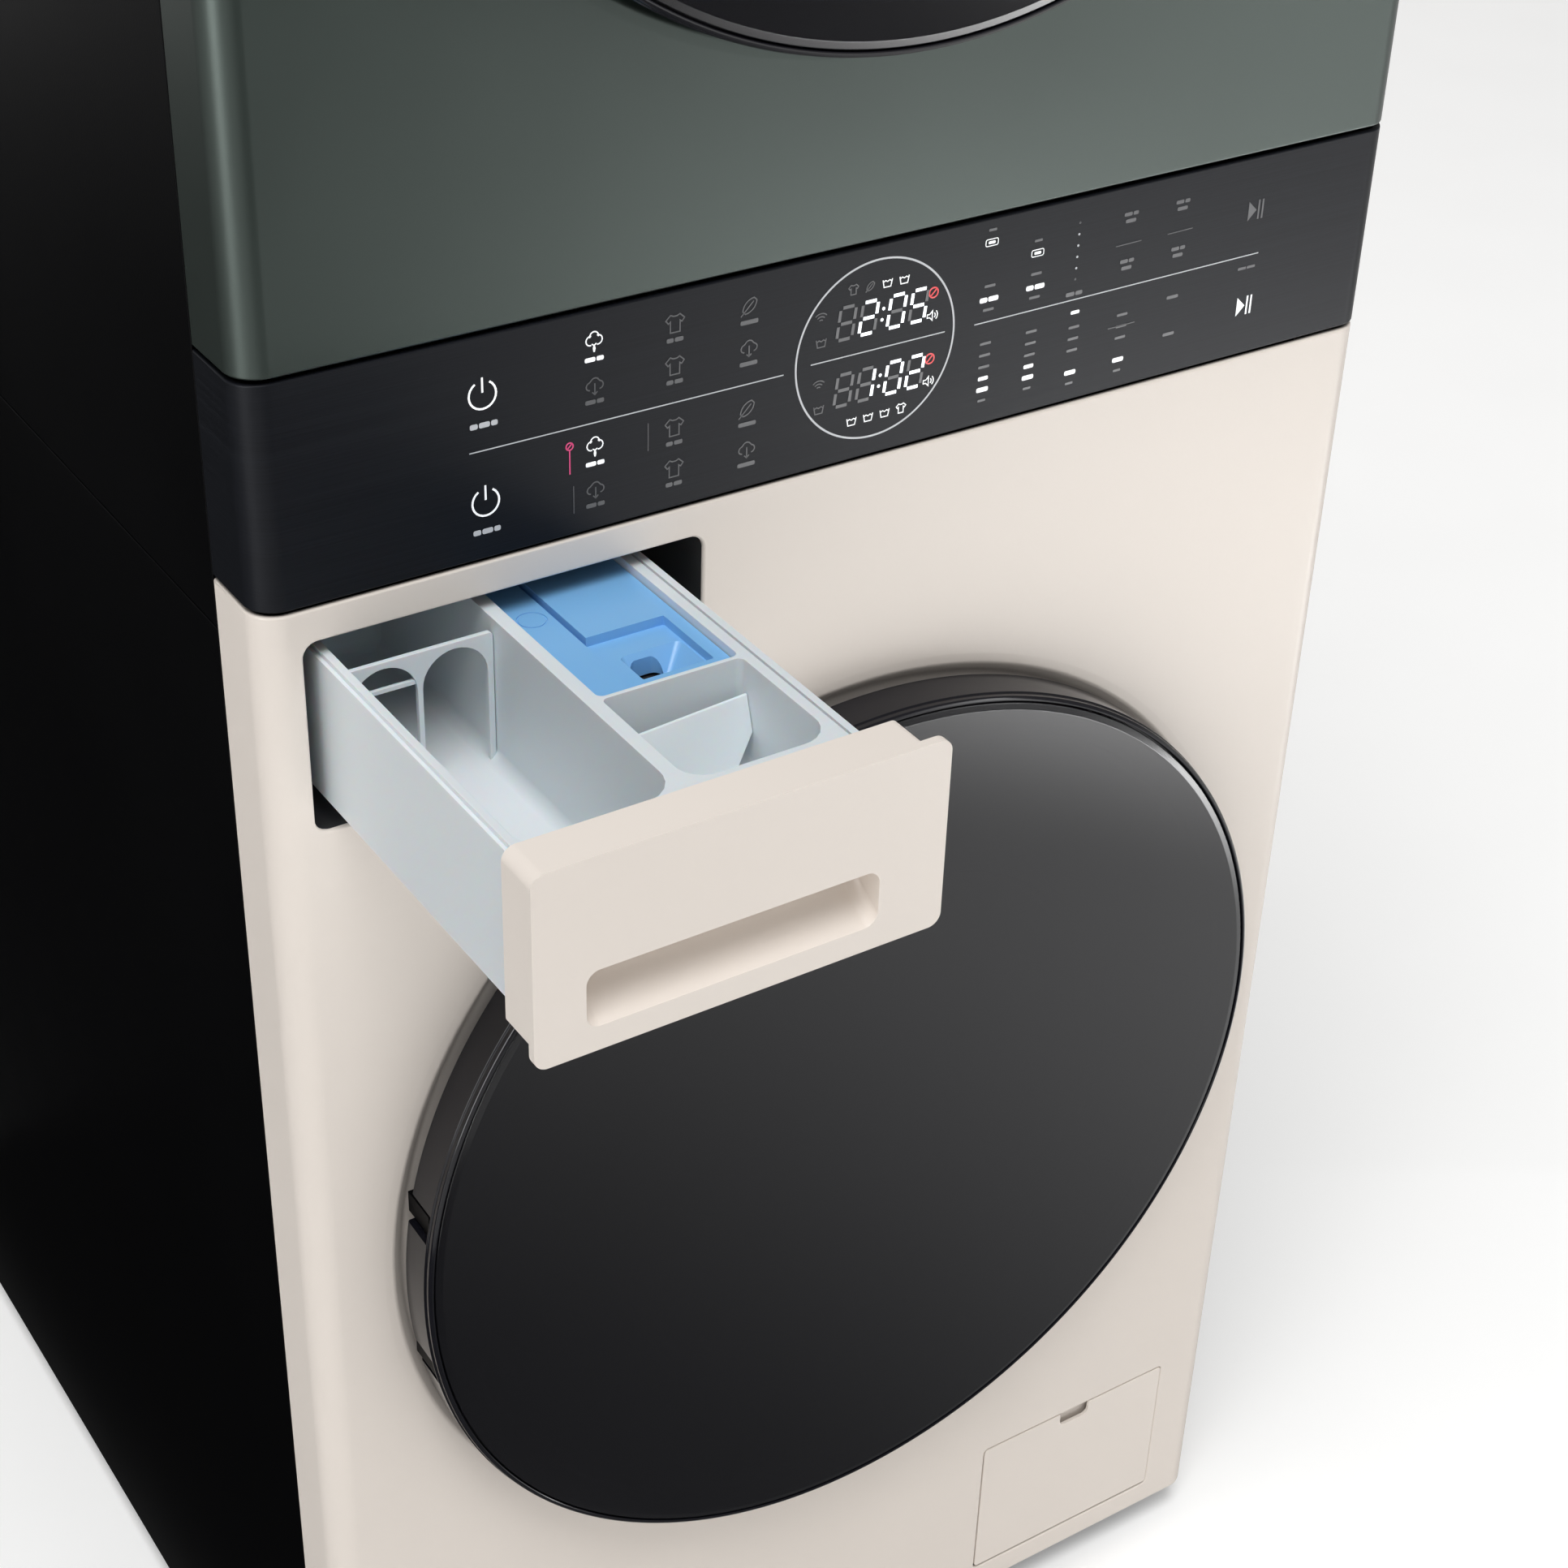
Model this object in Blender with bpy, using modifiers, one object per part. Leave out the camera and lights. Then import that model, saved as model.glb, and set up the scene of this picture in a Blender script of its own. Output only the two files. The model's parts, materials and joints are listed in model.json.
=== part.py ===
"""A laundry tower: a front-load washer below, a heat-pump dryer above, one control panel between them.

Metres, +Z up. The front faces -Y, the floor is z = 0 and x = 0 is the middle of the cabinet.
Shapes are drawn in cabinet coordinates, where y = 0 is the plane of the front panels and y grows
towards the wall. The empty "tower" moves them so that the origin is under the middle of the whole.
The detergent drawer is drawn open and every door is shut.
"""

import math

import bmesh
import bpy
from mathutils import Matrix, Vector

# Cabinet
WIDTH = 0.600
HEIGHT = 1.655
HALF = WIDTH / 2
SHEET = 0.0012
CORNER = 0.014
RETURN = 0.044
SEAM = 0.002
GAP = 0.0004
REAR = 0.611
REARMOST = 0.630
PANEL_LOW = 0.850
PANEL_HIGH = 0.953
SIDE_SPLIT = 0.825
SKIRT = 0.022
LID_LOW = 1.641

# Doors, drums and their shafts
WASHER_AXIS = 0.472
DRYER_AXIS = 1.300
DOOR_RADIUS = 0.2545
DOOR_FACE = -0.030
DOOR_BACK = -0.0045
COVER_RADIUS = DOOR_RADIUS - 0.0040
HINGE_X = -0.2455
HINGE_Y = -0.0165
HOLE_RADIUS = 0.178
TUB_RADIUS = 0.255
TUB_SPLIT = 0.280
TUB_BACK = 0.530
DRUM_RADIUS = 0.235
DRUM_FRONT = 0.085
DRUM_BACK = 0.490
SHAFT_RADIUS = 0.010
BEARING_RADIUS = 0.027
BEARING_FRONT = 0.505
DRYER_DRUM_RADIUS = 0.265
BELT_FRONT, BELT_BACK = 0.400, 0.412
MOTOR_X, MOTOR_Z = 0.170, 0.935
PULLEY_RADIUS = 0.0125

# Detergent drawer, drawn pulled out by DRAWER_OPEN
DRAWER_OPEN = 0.190
OPENING = (-0.2810, -0.0880, 0.7395, 0.8335)
PLATE = (-0.2795, -0.0895, 0.7410, 0.8320)
PLATE_THICK = 0.004
BLOCK_BACK = 0.0225
TRAY_X = (-0.2735, -0.1135)
TRAY_Z = (0.7530, 0.8260)
TRAY_BACK = 0.300
POCKET_LEFT = (-0.2680, -0.1975)
POCKET_RIGHT = (-0.1905, -0.1235)
INSERT_FRONT = -0.0850
LIQUID_Y = -0.0080

# Service flap and drain pump
FLAP = (0.1245, 0.2620, 0.0410, 0.1435)
FLAP_AXIS = (0.0060, 0.0470)
PUMP_X, PUMP_Z = 0.193, 0.092

# Water inlets and mains lead, through the rear panel
VALVE_X = (0.193, 0.232)
VALVE_Z = 0.800
GLAND_X, GLAND_Z = -0.230, 0.760

DRAWER_FRONT = -DRAWER_OPEN
MIDDLE_Y = (REARMOST + DRAWER_FRONT) / 2
STEPS = 24
DOOR_STEPS = 36

# name: colour, roughness, metallic
FINISHES = {
    "cream_enamel": ((0.76, 0.69, 0.63), 0.42, 0.0),
    "green_steel": ((0.10, 0.13, 0.115), 0.34, 0.6),
    "black_enamel": ((0.008, 0.008, 0.009), 0.45, 0.0),
    "panel_black": ((0.012, 0.013, 0.016), 0.38, 0.0),
    "gloss_black": ((0.010, 0.010, 0.013), 0.08, 0.0),
    "tinted_glass": ((0.015, 0.015, 0.020), 0.05, 0.0),
    "clear_glass": ((0.75, 0.78, 0.78), 0.04, 0.0),
    "pale_plastic": ((0.66, 0.71, 0.73), 0.35, 0.0),
    "blue_plastic": ((0.10, 0.33, 0.66), 0.35, 0.0),
    "dark_plastic": ((0.03, 0.03, 0.033), 0.5, 0.0),
    "grey_plastic": ((0.42, 0.43, 0.44), 0.5, 0.0),
    "grey_rubber": ((0.22, 0.22, 0.23), 0.7, 0.0),
    "black_rubber": ((0.02, 0.02, 0.02), 0.75, 0.0),
    "galvanised": ((0.55, 0.56, 0.57), 0.42, 1.0),
    "stainless": ((0.68, 0.68, 0.69), 0.24, 1.0),
    "bearing_steel": ((0.60, 0.60, 0.61), 0.2, 1.0),
    "cast_aluminium": ((0.56, 0.57, 0.58), 0.45, 1.0),
    "fin_aluminium": ((0.72, 0.73, 0.75), 0.4, 1.0),
    "concrete": ((0.36, 0.35, 0.33), 0.9, 0.0),
    "circuit_green": ((0.03, 0.16, 0.08), 0.5, 0.0),
    "copper": ((0.72, 0.36, 0.20), 0.35, 1.0),
}


# ---------------------------------------------------------------- making shapes


def clear_scene():
    for obj in list(bpy.data.objects):
        bpy.data.objects.remove(obj)


def collection(name):
    made = bpy.data.collections.new(name)
    bpy.context.scene.collection.children.link(made)
    return made


def empty(name, at, parent=None):
    """A frame of reference: the whole tower's, or the axis that a moving piece turns or slides on."""
    obj = bpy.data.objects.new(name, None)
    obj.location = at
    obj.empty_display_size = 0.05
    obj.parent = parent
    PARTS.objects.link(obj)
    return obj


def placed(obj, name, group=None):
    obj.name = name
    obj.parent = TOWER
    (group or PARTS).objects.link(obj)
    return obj


def mesh_object(name, build, group=None):
    """An object whose mesh the function build draws into an empty bmesh."""
    mesh = bpy.data.meshes.new(name)
    drawing = bmesh.new()
    build(drawing)
    bmesh.ops.recalc_face_normals(drawing, faces=drawing.faces)
    drawing.to_mesh(mesh)
    drawing.free()
    return placed(bpy.data.objects.new(name, mesh), name, group)


def block(name, x, y, z, group=None):
    """A box between the two values of each of x, y and z."""
    low = Vector((x[0], y[0], z[0]))
    high = Vector((x[1], y[1], z[1]))

    def build(drawing):
        shape = Matrix.Translation((low + high) / 2) @ Matrix.Diagonal((high - low).to_4d())
        bmesh.ops.create_cube(drawing, size=1.0, matrix=shape)

    return mesh_object(name, build, group)


def area(points):
    return 0.5 * sum(a[0] * b[1] - b[0] * a[1] for a, b in zip(points, points[1:] + points[:1]))


AXES = {"x": (0, math.pi / 2, 0), "y": (-math.pi / 2, 0, 0), "z": (0, 0, 0)}


def turned(name, profile, at, axis="y", steps=STEPS, group=None):
    """A solid of revolution: (radius, distance along the axis) points, closed on themselves or the axis."""
    points = list(profile)
    if area(points) > 0:
        points.reverse()
    mesh = bpy.data.meshes.new(name)
    drawing = bmesh.new()
    dots = [drawing.verts.new((radius, 0, along)) for radius, along in points]
    pairs = list(zip(dots, dots[1:] + dots[:1]))
    on_axis = [point[0] == 0 for point in points]
    if any(on_axis):
        pairs = [pair for pair in pairs if max(pair[0].co.x, pair[1].co.x) > 0]
    for pair in pairs:
        drawing.edges.new(pair)
    drawing.to_mesh(mesh)
    drawing.free()
    obj = placed(bpy.data.objects.new(name, mesh), name, group)
    obj.location = at
    obj.rotation_euler = AXES[axis]
    screw = obj.modifiers.new("Turn", "SCREW")
    screw.steps = screw.render_steps = steps
    screw.use_merge_vertices = True
    screw.merge_threshold = 0.00001
    screw.use_smooth_shade = True
    return obj


def cylinder(name, radius, start, end, at, axis="y", steps=STEPS, group=None):
    return turned(name, [(0, start), (radius, start), (radius, end), (0, end)], at, axis, steps, group)


def ring(name, inner, outer, start, end, at, axis="y", steps=STEPS, group=None):
    outline = [(inner, start), (outer, start), (outer, end), (inner, end)]
    return turned(name, outline, at, axis, steps, group)


def as_mesh(curve_object, name, group=None):
    """The curve's solid as a mesh with welded caps, which a Boolean can take."""
    graph = bpy.context.evaluated_depsgraph_get()
    mesh = bpy.data.meshes.new_from_object(curve_object.evaluated_get(graph))
    drawing = bmesh.new()
    drawing.from_mesh(mesh)
    bmesh.ops.remove_doubles(drawing, verts=drawing.verts, dist=0.00001)
    bmesh.ops.recalc_face_normals(drawing, faces=drawing.faces)
    drawing.to_mesh(mesh)
    drawing.free()
    obj = bpy.data.objects.new(name, mesh)
    obj.matrix_world = curve_object.matrix_world
    bpy.data.objects.remove(curve_object)
    return placed(obj, name, group)


def prism(name, outlines, start, end, along="y", group=None):
    """Flat outlines, the later ones holes in the first, extruded along y (points are x, z) or z (x, y)."""
    curve = bpy.data.curves.new(name, "CURVE")
    curve.dimensions = "2D"
    curve.fill_mode = "BOTH"
    curve.extrude = (end - start) / 2
    for outline in outlines:
        spline = curve.splines.new("POLY")
        spline.points.add(len(outline) - 1)
        for point, (across, up) in zip(spline.points, outline):
            point.co = (across, up, 0, 1)
        spline.use_cyclic_u = True
    flat = bpy.data.objects.new(name + "_outline", curve)
    bpy.context.scene.collection.objects.link(flat)
    middle = (start + end) / 2
    if along == "y":
        flat.matrix_world = Matrix.Translation((0, middle, 0)) @ Matrix.Rotation(math.pi / 2, 4, "X")
    else:
        flat.matrix_world = Matrix.Translation((0, 0, middle))
    bpy.context.view_layer.update()
    return as_mesh(flat, name, group)


def tube(name, points, radius, resolution=2):
    """A round bar along the points, with closed ends."""
    curve = bpy.data.curves.new(name, "CURVE")
    curve.dimensions = "3D"
    curve.bevel_depth = radius
    curve.bevel_resolution = resolution
    curve.use_fill_caps = True
    spline = curve.splines.new("POLY")
    spline.points.add(len(points) - 1)
    for point, place in zip(spline.points, points):
        point.co = (*place, 1)
    return placed(bpy.data.objects.new(name, curve), name)


def arc(centre, radius, first, last, steps):
    """Points on a circle, from the first angle to the last, in degrees."""
    angles = [math.radians(first + (last - first) * i / steps) for i in range(steps + 1)]
    return [(centre[0] + radius * math.cos(a), centre[1] + radius * math.sin(a)) for a in angles]


def rounded(box, radius, steps=4):
    """A rectangle (low x, high x, low y, high y) with round corners."""
    left, right, low, high = box
    corners = ((right, high, 0), (left, high, 90), (left, low, 180), (right, low, 270))
    points = []
    for x, y, start in corners:
        inward_x = -radius if x == right else radius
        inward_y = -radius if y == high else radius
        points += arc((x + inward_x, y + inward_y), radius, start, start + 90, steps)
    return points


def smooth(points, per_span):
    """A Catmull-Rom curve through the points."""
    knots = [Vector(point) for point in points]
    knots = [2 * knots[0] - knots[1], *knots, 2 * knots[-1] - knots[-2]]
    curve = []
    for a, b, c, d in zip(knots, knots[1:], knots[2:], knots[3:]):
        for i in range(per_span):
            t = i / per_span
            curve.append(
                0.5 * (2 * b + (c - a) * t + (2 * a - 5 * b + 4 * c - d) * t**2 + (3 * b - a - 3 * c + d) * t**3)
            )
    return [*curve, knots[-2]]


def boolean(target, other, operation):
    modifier = target.modifiers.new(operation.title(), "BOOLEAN")
    modifier.operation = operation
    modifier.object = other
    modifier.solver = "EXACT"
    other.hide_render = True
    other.display_type = "WIRE"


def cut(target, *cutters):
    for cutter in cutters:
        boolean(target, cutter, "DIFFERENCE")
    return target


def join(target, *others):
    for other in others:
        boolean(target, other, "UNION")
    return target


def hang(pivot, *pieces):
    """Parents pieces to an empty without moving them."""
    for piece in pieces:
        piece.parent = pivot
        piece.matrix_parent_inverse = Matrix.Translation(-pivot.location)


def paint(obj, finish):
    """Gives the part its own material, in one of the finishes."""
    colour, roughness, metallic = FINISHES[finish]
    material = bpy.data.materials.new(f"{obj.name}_{finish}")
    material.use_nodes = True
    shader = material.node_tree.nodes["Principled BSDF"]
    shader.inputs["Base Color"].default_value = (*colour, 1)
    shader.inputs["Roughness"].default_value = roughness
    shader.inputs["Metallic"].default_value = metallic
    obj.data.materials.clear()
    obj.data.materials.append(material)
    return obj


# ---------------------------------------------------------------- cabinet


def wrapped_sheet(name, low, high, thickness):
    """A front: flat face, rounded corners and short returns along both sides, bent from one sheet."""
    corner = arc((-HALF + CORNER, CORNER), CORNER, 180, 270, 4)
    half = [(-HALF, RETURN), *corner]
    path = half + [(-x, y) for x, y in reversed(half)]
    mesh = bpy.data.meshes.new(name)
    drawing = bmesh.new()
    rows = [[drawing.verts.new((x, y, z)) for x, y in path] for z in (low, high)]
    for i in range(len(path) - 1):
        drawing.faces.new((rows[0][i], rows[0][i + 1], rows[1][i + 1], rows[1][i]))
    drawing.to_mesh(mesh)
    drawing.free()
    obj = placed(bpy.data.objects.new(name, mesh), name)
    solidify = obj.modifiers.new("Thickness", "SOLIDIFY")
    solidify.thickness = thickness
    solidify.offset = -1
    return obj


def door_hole(name, axis_height):
    return cylinder(name, HOLE_RADIUS, -0.01, 0.02, (0, 0, axis_height), group=CUTTERS)


def latch_slot(name, axis_height):
    slot = (0.192, 0.213, axis_height - 0.014, axis_height + 0.014)
    return prism(name, [rounded(slot, 0.003, 2)], -0.01, 0.01, group=CUTTERS)


def fronts():
    washer = wrapped_sheet("washer_front_panel", SKIRT, PANEL_LOW - SEAM / 2, SHEET)
    opening = prism("drawer_opening", [rounded(OPENING, 0.007)], -0.01, 0.01, group=CUTTERS)
    left, right, low, high = FLAP
    flap_box = (left - 0.001, right + 0.001, low - 0.0025, high + 0.001)
    flap_hole = prism("flap_opening", [rounded(flap_box, 0.003, 2)], -0.01, 0.01, group=CUTTERS)
    cut(washer, door_hole("washer_hole", WASHER_AXIS), latch_slot("washer_slot", WASHER_AXIS))
    cut(washer, opening, flap_hole)
    paint(washer, "cream_enamel")

    dryer = wrapped_sheet("dryer_front_panel", PANEL_HIGH + SEAM / 2, HEIGHT, SHEET)
    cut(dryer, door_hole("dryer_hole", DRYER_AXIS), latch_slot("dryer_slot", DRYER_AXIS))
    paint(dryer, "green_steel")

    panel = wrapped_sheet("control_panel", PANEL_LOW + SEAM / 2, PANEL_HIGH - SEAM / 2, 0.0025)
    paint(panel, "panel_black")
    board = block("control_board", (-0.215, 0.235), (0.0060, 0.0080), (0.862, 0.942))
    relays = block("relays", (0.050, 0.200), (0.0070, 0.0250), (0.870, 0.930), CUTTERS)
    join(board, relays)
    paint(board, "circuit_green")


def sides():
    spans = (("washer", SKIRT, SIDE_SPLIT - GAP), ("dryer", SIDE_SPLIT + GAP, LID_LOW - GAP))
    for unit, low, high in spans:
        for side, sign in (("left", -1), ("right", 1)):
            across = sorted((sign * HALF, sign * (HALF - SHEET)))
            panel = block(f"{unit}_{side}_side", across, (RETURN + GAP, REAR - GAP), (low, high))
            paint(panel, "black_enamel")


def rear_panel():
    panel = block("rear_panel", (-0.2985, 0.2985), (REAR, REAR + SHEET), (SKIRT, LID_LOW - GAP))
    for i, x in enumerate(VALVE_X):
        at = (x, 0, VALVE_Z)
        cut(panel, cylinder(f"valve_hole_{i}", 0.0140, REAR - 0.01, REAR + 0.01, at, steps=16, group=CUTTERS))
    at = (GLAND_X, 0, GLAND_Z)
    gland = cylinder("cord_gland", 0.0120, REAR + 0.0006, REAR + 0.0140, at, steps=16, group=CUTTERS)
    join(panel, gland)
    paint(panel, "galvanised")


def top_cover():
    inset = 0.0020
    outline = rounded((-HALF + inset, HALF - inset, 0.0030, REAR + 0.0040), 0.014)
    lid = prism("top_cover", [outline], LID_LOW, HEIGHT - 0.0015, "z")
    inside = rounded((-0.2920, 0.2920, 0.0090, REAR - 0.0020), 0.010)
    hollow = prism("lid_hollow", [inside], LID_LOW - 0.01, HEIGHT - 0.0045, "z", CUTTERS)
    paint(cut(lid, hollow), "black_enamel")


def base_and_feet():
    pan = prism("base_pan", [rounded((-0.2960, 0.2960, 0.0035, REAR - 0.0025), 0.014)], 0.0200, 0.0340, "z")
    hollow = rounded((-0.2930, 0.2930, 0.0065, REAR - 0.0055), 0.011)
    cut(pan, prism("pan_hollow", [hollow], 0.0230, 0.05, "z", CUTTERS))
    paint(pan, "galvanised")
    for end, y in (("front", 0.050), ("rear", 0.560)):
        for side, x in (("left", -0.250), ("right", 0.250)):
            pad = [(0, 0), (0.024, 0), (0.024, 0.006), (0.018, 0.013)]
            outline = [*pad, (0.0052, 0.013), (0.0052, 0.032), (0, 0.032)]
            foot = turned(f"foot_{end}_{side}", outline, (x, y, 0), "z", 16)
            cut(pan, cylinder(f"foot_hole_{end}_{side}", 0.0058, 0, 0.04, (x, y, 0), "z", 16, CUTTERS))
            hang(empty(f"axis_foot_{end}_{side}", (x, y, 0), TOWER), paint(foot, "black_rubber"))


# ---------------------------------------------------------------- detergent drawer


def drawer():
    slide = empty("axis_drawer", (0, DRAWER_FRONT, 0), TOWER)
    front = DRAWER_FRONT
    left, right, low, high = PLATE
    body = prism("drawer_front", [rounded(PLATE, 0.006)], front, front + PLATE_THICK)
    block_box = (left, right - 0.011, low + 0.010, high - 0.0005)
    block_outline = rounded(block_box, 0.003, 2)
    join(body, prism("drawer_block", [block_outline], front + 0.002, front + BLOCK_BACK, group=CUTTERS))
    grip_box = (left + 0.023, right - 0.032, low + 0.0115, low + 0.0385)
    grip = prism("grip_recess", [rounded(grip_box, 0.006)], front - 0.01, front + 0.0185, group=CUTTERS)
    paint(cut(body, grip), "cream_enamel")

    tray_front = front + BLOCK_BACK + GAP
    tray_rear = TRAY_BACK - DRAWER_OPEN
    tray = block("drawer_tray", TRAY_X, (tray_front, tray_rear), TRAY_Z)
    floor = TRAY_Z[0] + 0.0025
    pocket_front = tray_front + 0.0070
    rear_wall = tray_rear - 0.0030
    step = INSERT_FRONT - 0.0025
    wells = {
        "detergent_well": (POCKET_LEFT[0], POCKET_LEFT[1], pocket_front, rear_wall),
        "softener_well": (POCKET_RIGHT[0], POCKET_RIGHT[1], pocket_front, step),
        "insert_well": (POCKET_RIGHT[0], POCKET_RIGHT[1], step + 0.0025, rear_wall),
    }
    for name, box in wells.items():
        radius = 0.003 if name == "insert_well" else 0.016
        cut(tray, prism(name, [rounded(box, radius)], floor, TRAY_Z[1] + 0.01, "z", CUTTERS))
    paint(tray, "pale_plastic")

    blue = softener_insert(rear_wall)
    frame = liquid_insert()
    hang(slide, body, tray, blue, frame)


def softener_insert(rear_wall):
    """The blue cap over the rear of the softener compartment, with a filling well in it."""
    left, right = POCKET_RIGHT[0] + GAP, POCKET_RIGHT[1] - GAP
    top = TRAY_Z[1] - 0.0040
    outline = rounded((left, right, INSERT_FRONT + GAP, rear_wall - GAP), 0.003, 2)
    cap = prism("softener_insert", [outline], top - 0.0170, top, "z")
    hollow = (left + 0.002, right - 0.002), (-0.080, rear_wall - 0.003), (0.79, top - 0.014)
    under = block("cap_under", *hollow, CUTTERS)
    well_box = (left + 0.028, right - 0.005, INSERT_FRONT + 0.014, INSERT_FRONT + 0.048)
    well = prism("filling_well", [rounded(well_box, 0.003, 2)], top - 0.0120, top + 0.01, "z", CUTTERS)
    return paint(cut(cap, under, well), "blue_plastic")


def liquid_insert():
    """The arched frame that stands across the rear of the detergent compartment."""
    left, right = POCKET_LEFT[0] + GAP, POCKET_LEFT[1] - GAP
    low, high = TRAY_Z[0] + 0.0029, TRAY_Z[1] - 0.0060
    plate = prism("liquid_insert", [rounded((left, right, low, high), 0.002, 2)], LIQUID_Y, LIQUID_Y + 0.0025)
    middle = (left + right) / 2
    reach = (right - left) / 4 - 0.0035
    for i, x in enumerate((middle - reach - 0.0015, middle + reach + 0.0015)):
        spring = high - 0.004 - reach
        arch = [(x + reach, low + 0.006), *arc((x, spring), reach, 0, 180, 8), (x - reach, low + 0.006)]
        cut(plate, prism(f"arch_{i}", [arch], LIQUID_Y - 0.01, LIQUID_Y + 0.01, group=CUTTERS))
    return paint(plate, "pale_plastic")


def dispenser_housing():
    """The fixed box that the drawer runs in, with the spout that washes detergent into the tub."""
    left, right, low, high = OPENING
    wall = 0.0020
    outer = block("dispenser_housing", (left - wall, right + wall), (0.0018, 0.3300), (low - wall, high + wall))
    spout = cylinder("spout", 0.016, 0.675, low - 0.001, (-0.180, 0.305, 0), "z", 16, CUTTERS)
    bore = cylinder("spout_bore", 0.013, 0.60, low + 0.005, (-0.180, 0.305, 0), "z", 16, CUTTERS)
    inside = block("housing_inside", (left, right), (-0.01, 0.3280), (low, high), CUTTERS)
    paint(cut(join(outer, spout), inside, bore), "dark_plastic")


# ---------------------------------------------------------------- doors


def door_ring(name, height):
    """The gloss ring round the door, notched for the hinge arms and bored for the hinge pin."""
    outline = [
        (DOOR_RADIUS - 0.020, DOOR_BACK),
        (DOOR_RADIUS - 0.0015, DOOR_BACK),
        (DOOR_RADIUS, DOOR_BACK - 0.002),
        (DOOR_RADIUS, DOOR_FACE + 0.0015),
        (DOOR_RADIUS - 0.0015, DOOR_FACE),
        (COVER_RADIUS + GAP, DOOR_FACE),
        (COVER_RADIUS + GAP, DOOR_FACE + 0.0040),
        (DOOR_RADIUS - 0.020, DOOR_FACE + 0.0040),
    ]
    body = turned(name, outline, (0, 0, height), steps=DOOR_STEPS)
    for end, sign in (("upper", 1), ("lower", -1)):
        z = sorted((height + sign * 0.038, height + sign * 0.054))
        cut(body, block(f"{name}_notch_{end}", (-0.262, -0.2365), (HINGE_Y - 0.008, 0.01), z, CUTTERS))
    pin = (HINGE_X, HINGE_Y, 0)
    cut(body, cylinder(f"{name}_bore", 0.0036, height - 0.060, height + 0.060, pin, "z", 12, CUTTERS))
    return paint(body, "gloss_black")


def door_cover(name, height):
    """The domed dark glass in front of the door."""
    rim, dome = COVER_RADIUS, 0.0035
    front = [(rim * i / 3, DOOR_FACE + 0.0005 - dome * (1 - (i / 3) ** 2)) for i in range(4)]
    back = [(radius, along + 0.0030) for radius, along in reversed(front)]
    return paint(turned(name, front + back, (0, 0, height), steps=DOOR_STEPS), "tinted_glass")


def door_frame(name, height, has_window):
    """The moulded tray behind the glass. The washer's is open in the middle for the bowl."""
    rim, inner = DOOR_RADIUS - 0.0209, 0.1500
    back, face, wall = -0.0065, -0.0262, 0.003
    channel = [(inner, back), (rim, back), (rim, face), (rim - wall, face), (rim - wall, back - wall)]
    if has_window:
        channel += [(inner + wall, back - wall), (inner + wall, face), (inner, face)]
    else:
        channel[0] = (inner + 0.020, back)
        channel += [(inner + 0.018, back - wall), (inner, 0.0150)]
        channel += [(0, 0.0150), (0, 0.0180), (inner + 0.0035, 0.0180)]
    body = turned(name, channel, (0, 0, height), steps=DOOR_STEPS)
    tall = (height - 0.008, height + 0.008)
    hook = block(f"{name}_hook", (0.1960, 0.2040), (-0.0080, 0.0120), tall, CUTTERS)
    return paint(join(body, hook), "grey_plastic")


def door_bowl(height):
    """The glass bowl that keeps laundry off the door seal."""
    outer = [(0, 0.0900), (0.0950, 0.0860), (0.1240, 0.0700), (0.1420, 0.0300), (0.1465, -0.0040)]
    flange = [(0.1492, -0.0040), (0.1492, -0.0085)]
    inner = [(0.1430, -0.0085), (0.1375, 0.0300), (0.1200, 0.0680), (0.0930, 0.0818), (0, 0.0858)]
    return paint(turned("washer_door_bowl", outer + flange + inner, (0, 0, height)), "clear_glass")


def door_hinge(name, height):
    """The bracket behind the door's edge: a plate on the front, two arms and the pin between them."""
    plate = block(name, (HINGE_X + 0.0070, -0.2150), (-0.0034, -GAP), (height - 0.055, height + 0.055))
    for end, sign in (("upper", 1), ("lower", -1)):
        z = sorted((height + sign * 0.040, height + sign * 0.052))
        left = HINGE_X - 0.0030
        foot = block(f"{name}_foot_{end}", (left, HINGE_X + 0.0080), (-0.0034, -GAP), z, CUTTERS)
        join(plate, foot, block(f"{name}_arm_{end}", (left, left + 0.0070), (HINGE_Y - 0.0055, -0.0010), z, CUTTERS))
    at = (HINGE_X, HINGE_Y, 0)
    pin = cylinder(f"{name}_pin", 0.0030, height - 0.046, height + 0.046, at, "z", 12, CUTTERS)
    return paint(join(plate, pin), "black_enamel")


def doors():
    for unit, height in (("washer", WASHER_AXIS), ("dryer", DRYER_AXIS)):
        pieces = [
            door_ring(f"{unit}_door_ring", height),
            door_cover(f"{unit}_door_cover", height),
            door_frame(f"{unit}_door_frame", height, unit == "washer"),
        ]
        if unit == "washer":
            pieces.append(door_bowl(height))
        door_hinge(f"{unit}_door_hinge", height)
        hang(empty(f"axis_{unit}_door", (HINGE_X, HINGE_Y, height), TOWER), *pieces)
    tall, mouth = ((WASHER_AXIS - half, WASHER_AXIS + half) for half in (0.032, 0.014))
    lock = block("washer_door_lock", (0.1895, 0.2260), (0.0020, 0.0300), tall)
    throat = block("lock_throat", (0.1925, 0.2125), (-0.01, 0.0180), mouth, CUTTERS)
    paint(cut(lock, throat), "dark_plastic")


# ---------------------------------------------------------------- washer


def gasket():
    """The bellows between the hole in the front and the tub's mouth."""
    wall = 0.0025
    inner = [(0.1740, 0.0020), (0.1580, 0.0120), (0.1550, 0.0260), (0.1670, 0.0340)]
    inner += [(0.1580, 0.0420), (0.1756, 0.0520), (0.1756, 0.0680)]
    outer = [(radius + wall, along) for radius, along in reversed(inner[1:])]
    lip = [(0.1765, 0.0045), (0.1885, 0.0045), (0.1885, 0.0020)]
    paint(turned("door_gasket", inner + outer + lip, (0, 0, WASHER_AXIS)), "grey_rubber")


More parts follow.
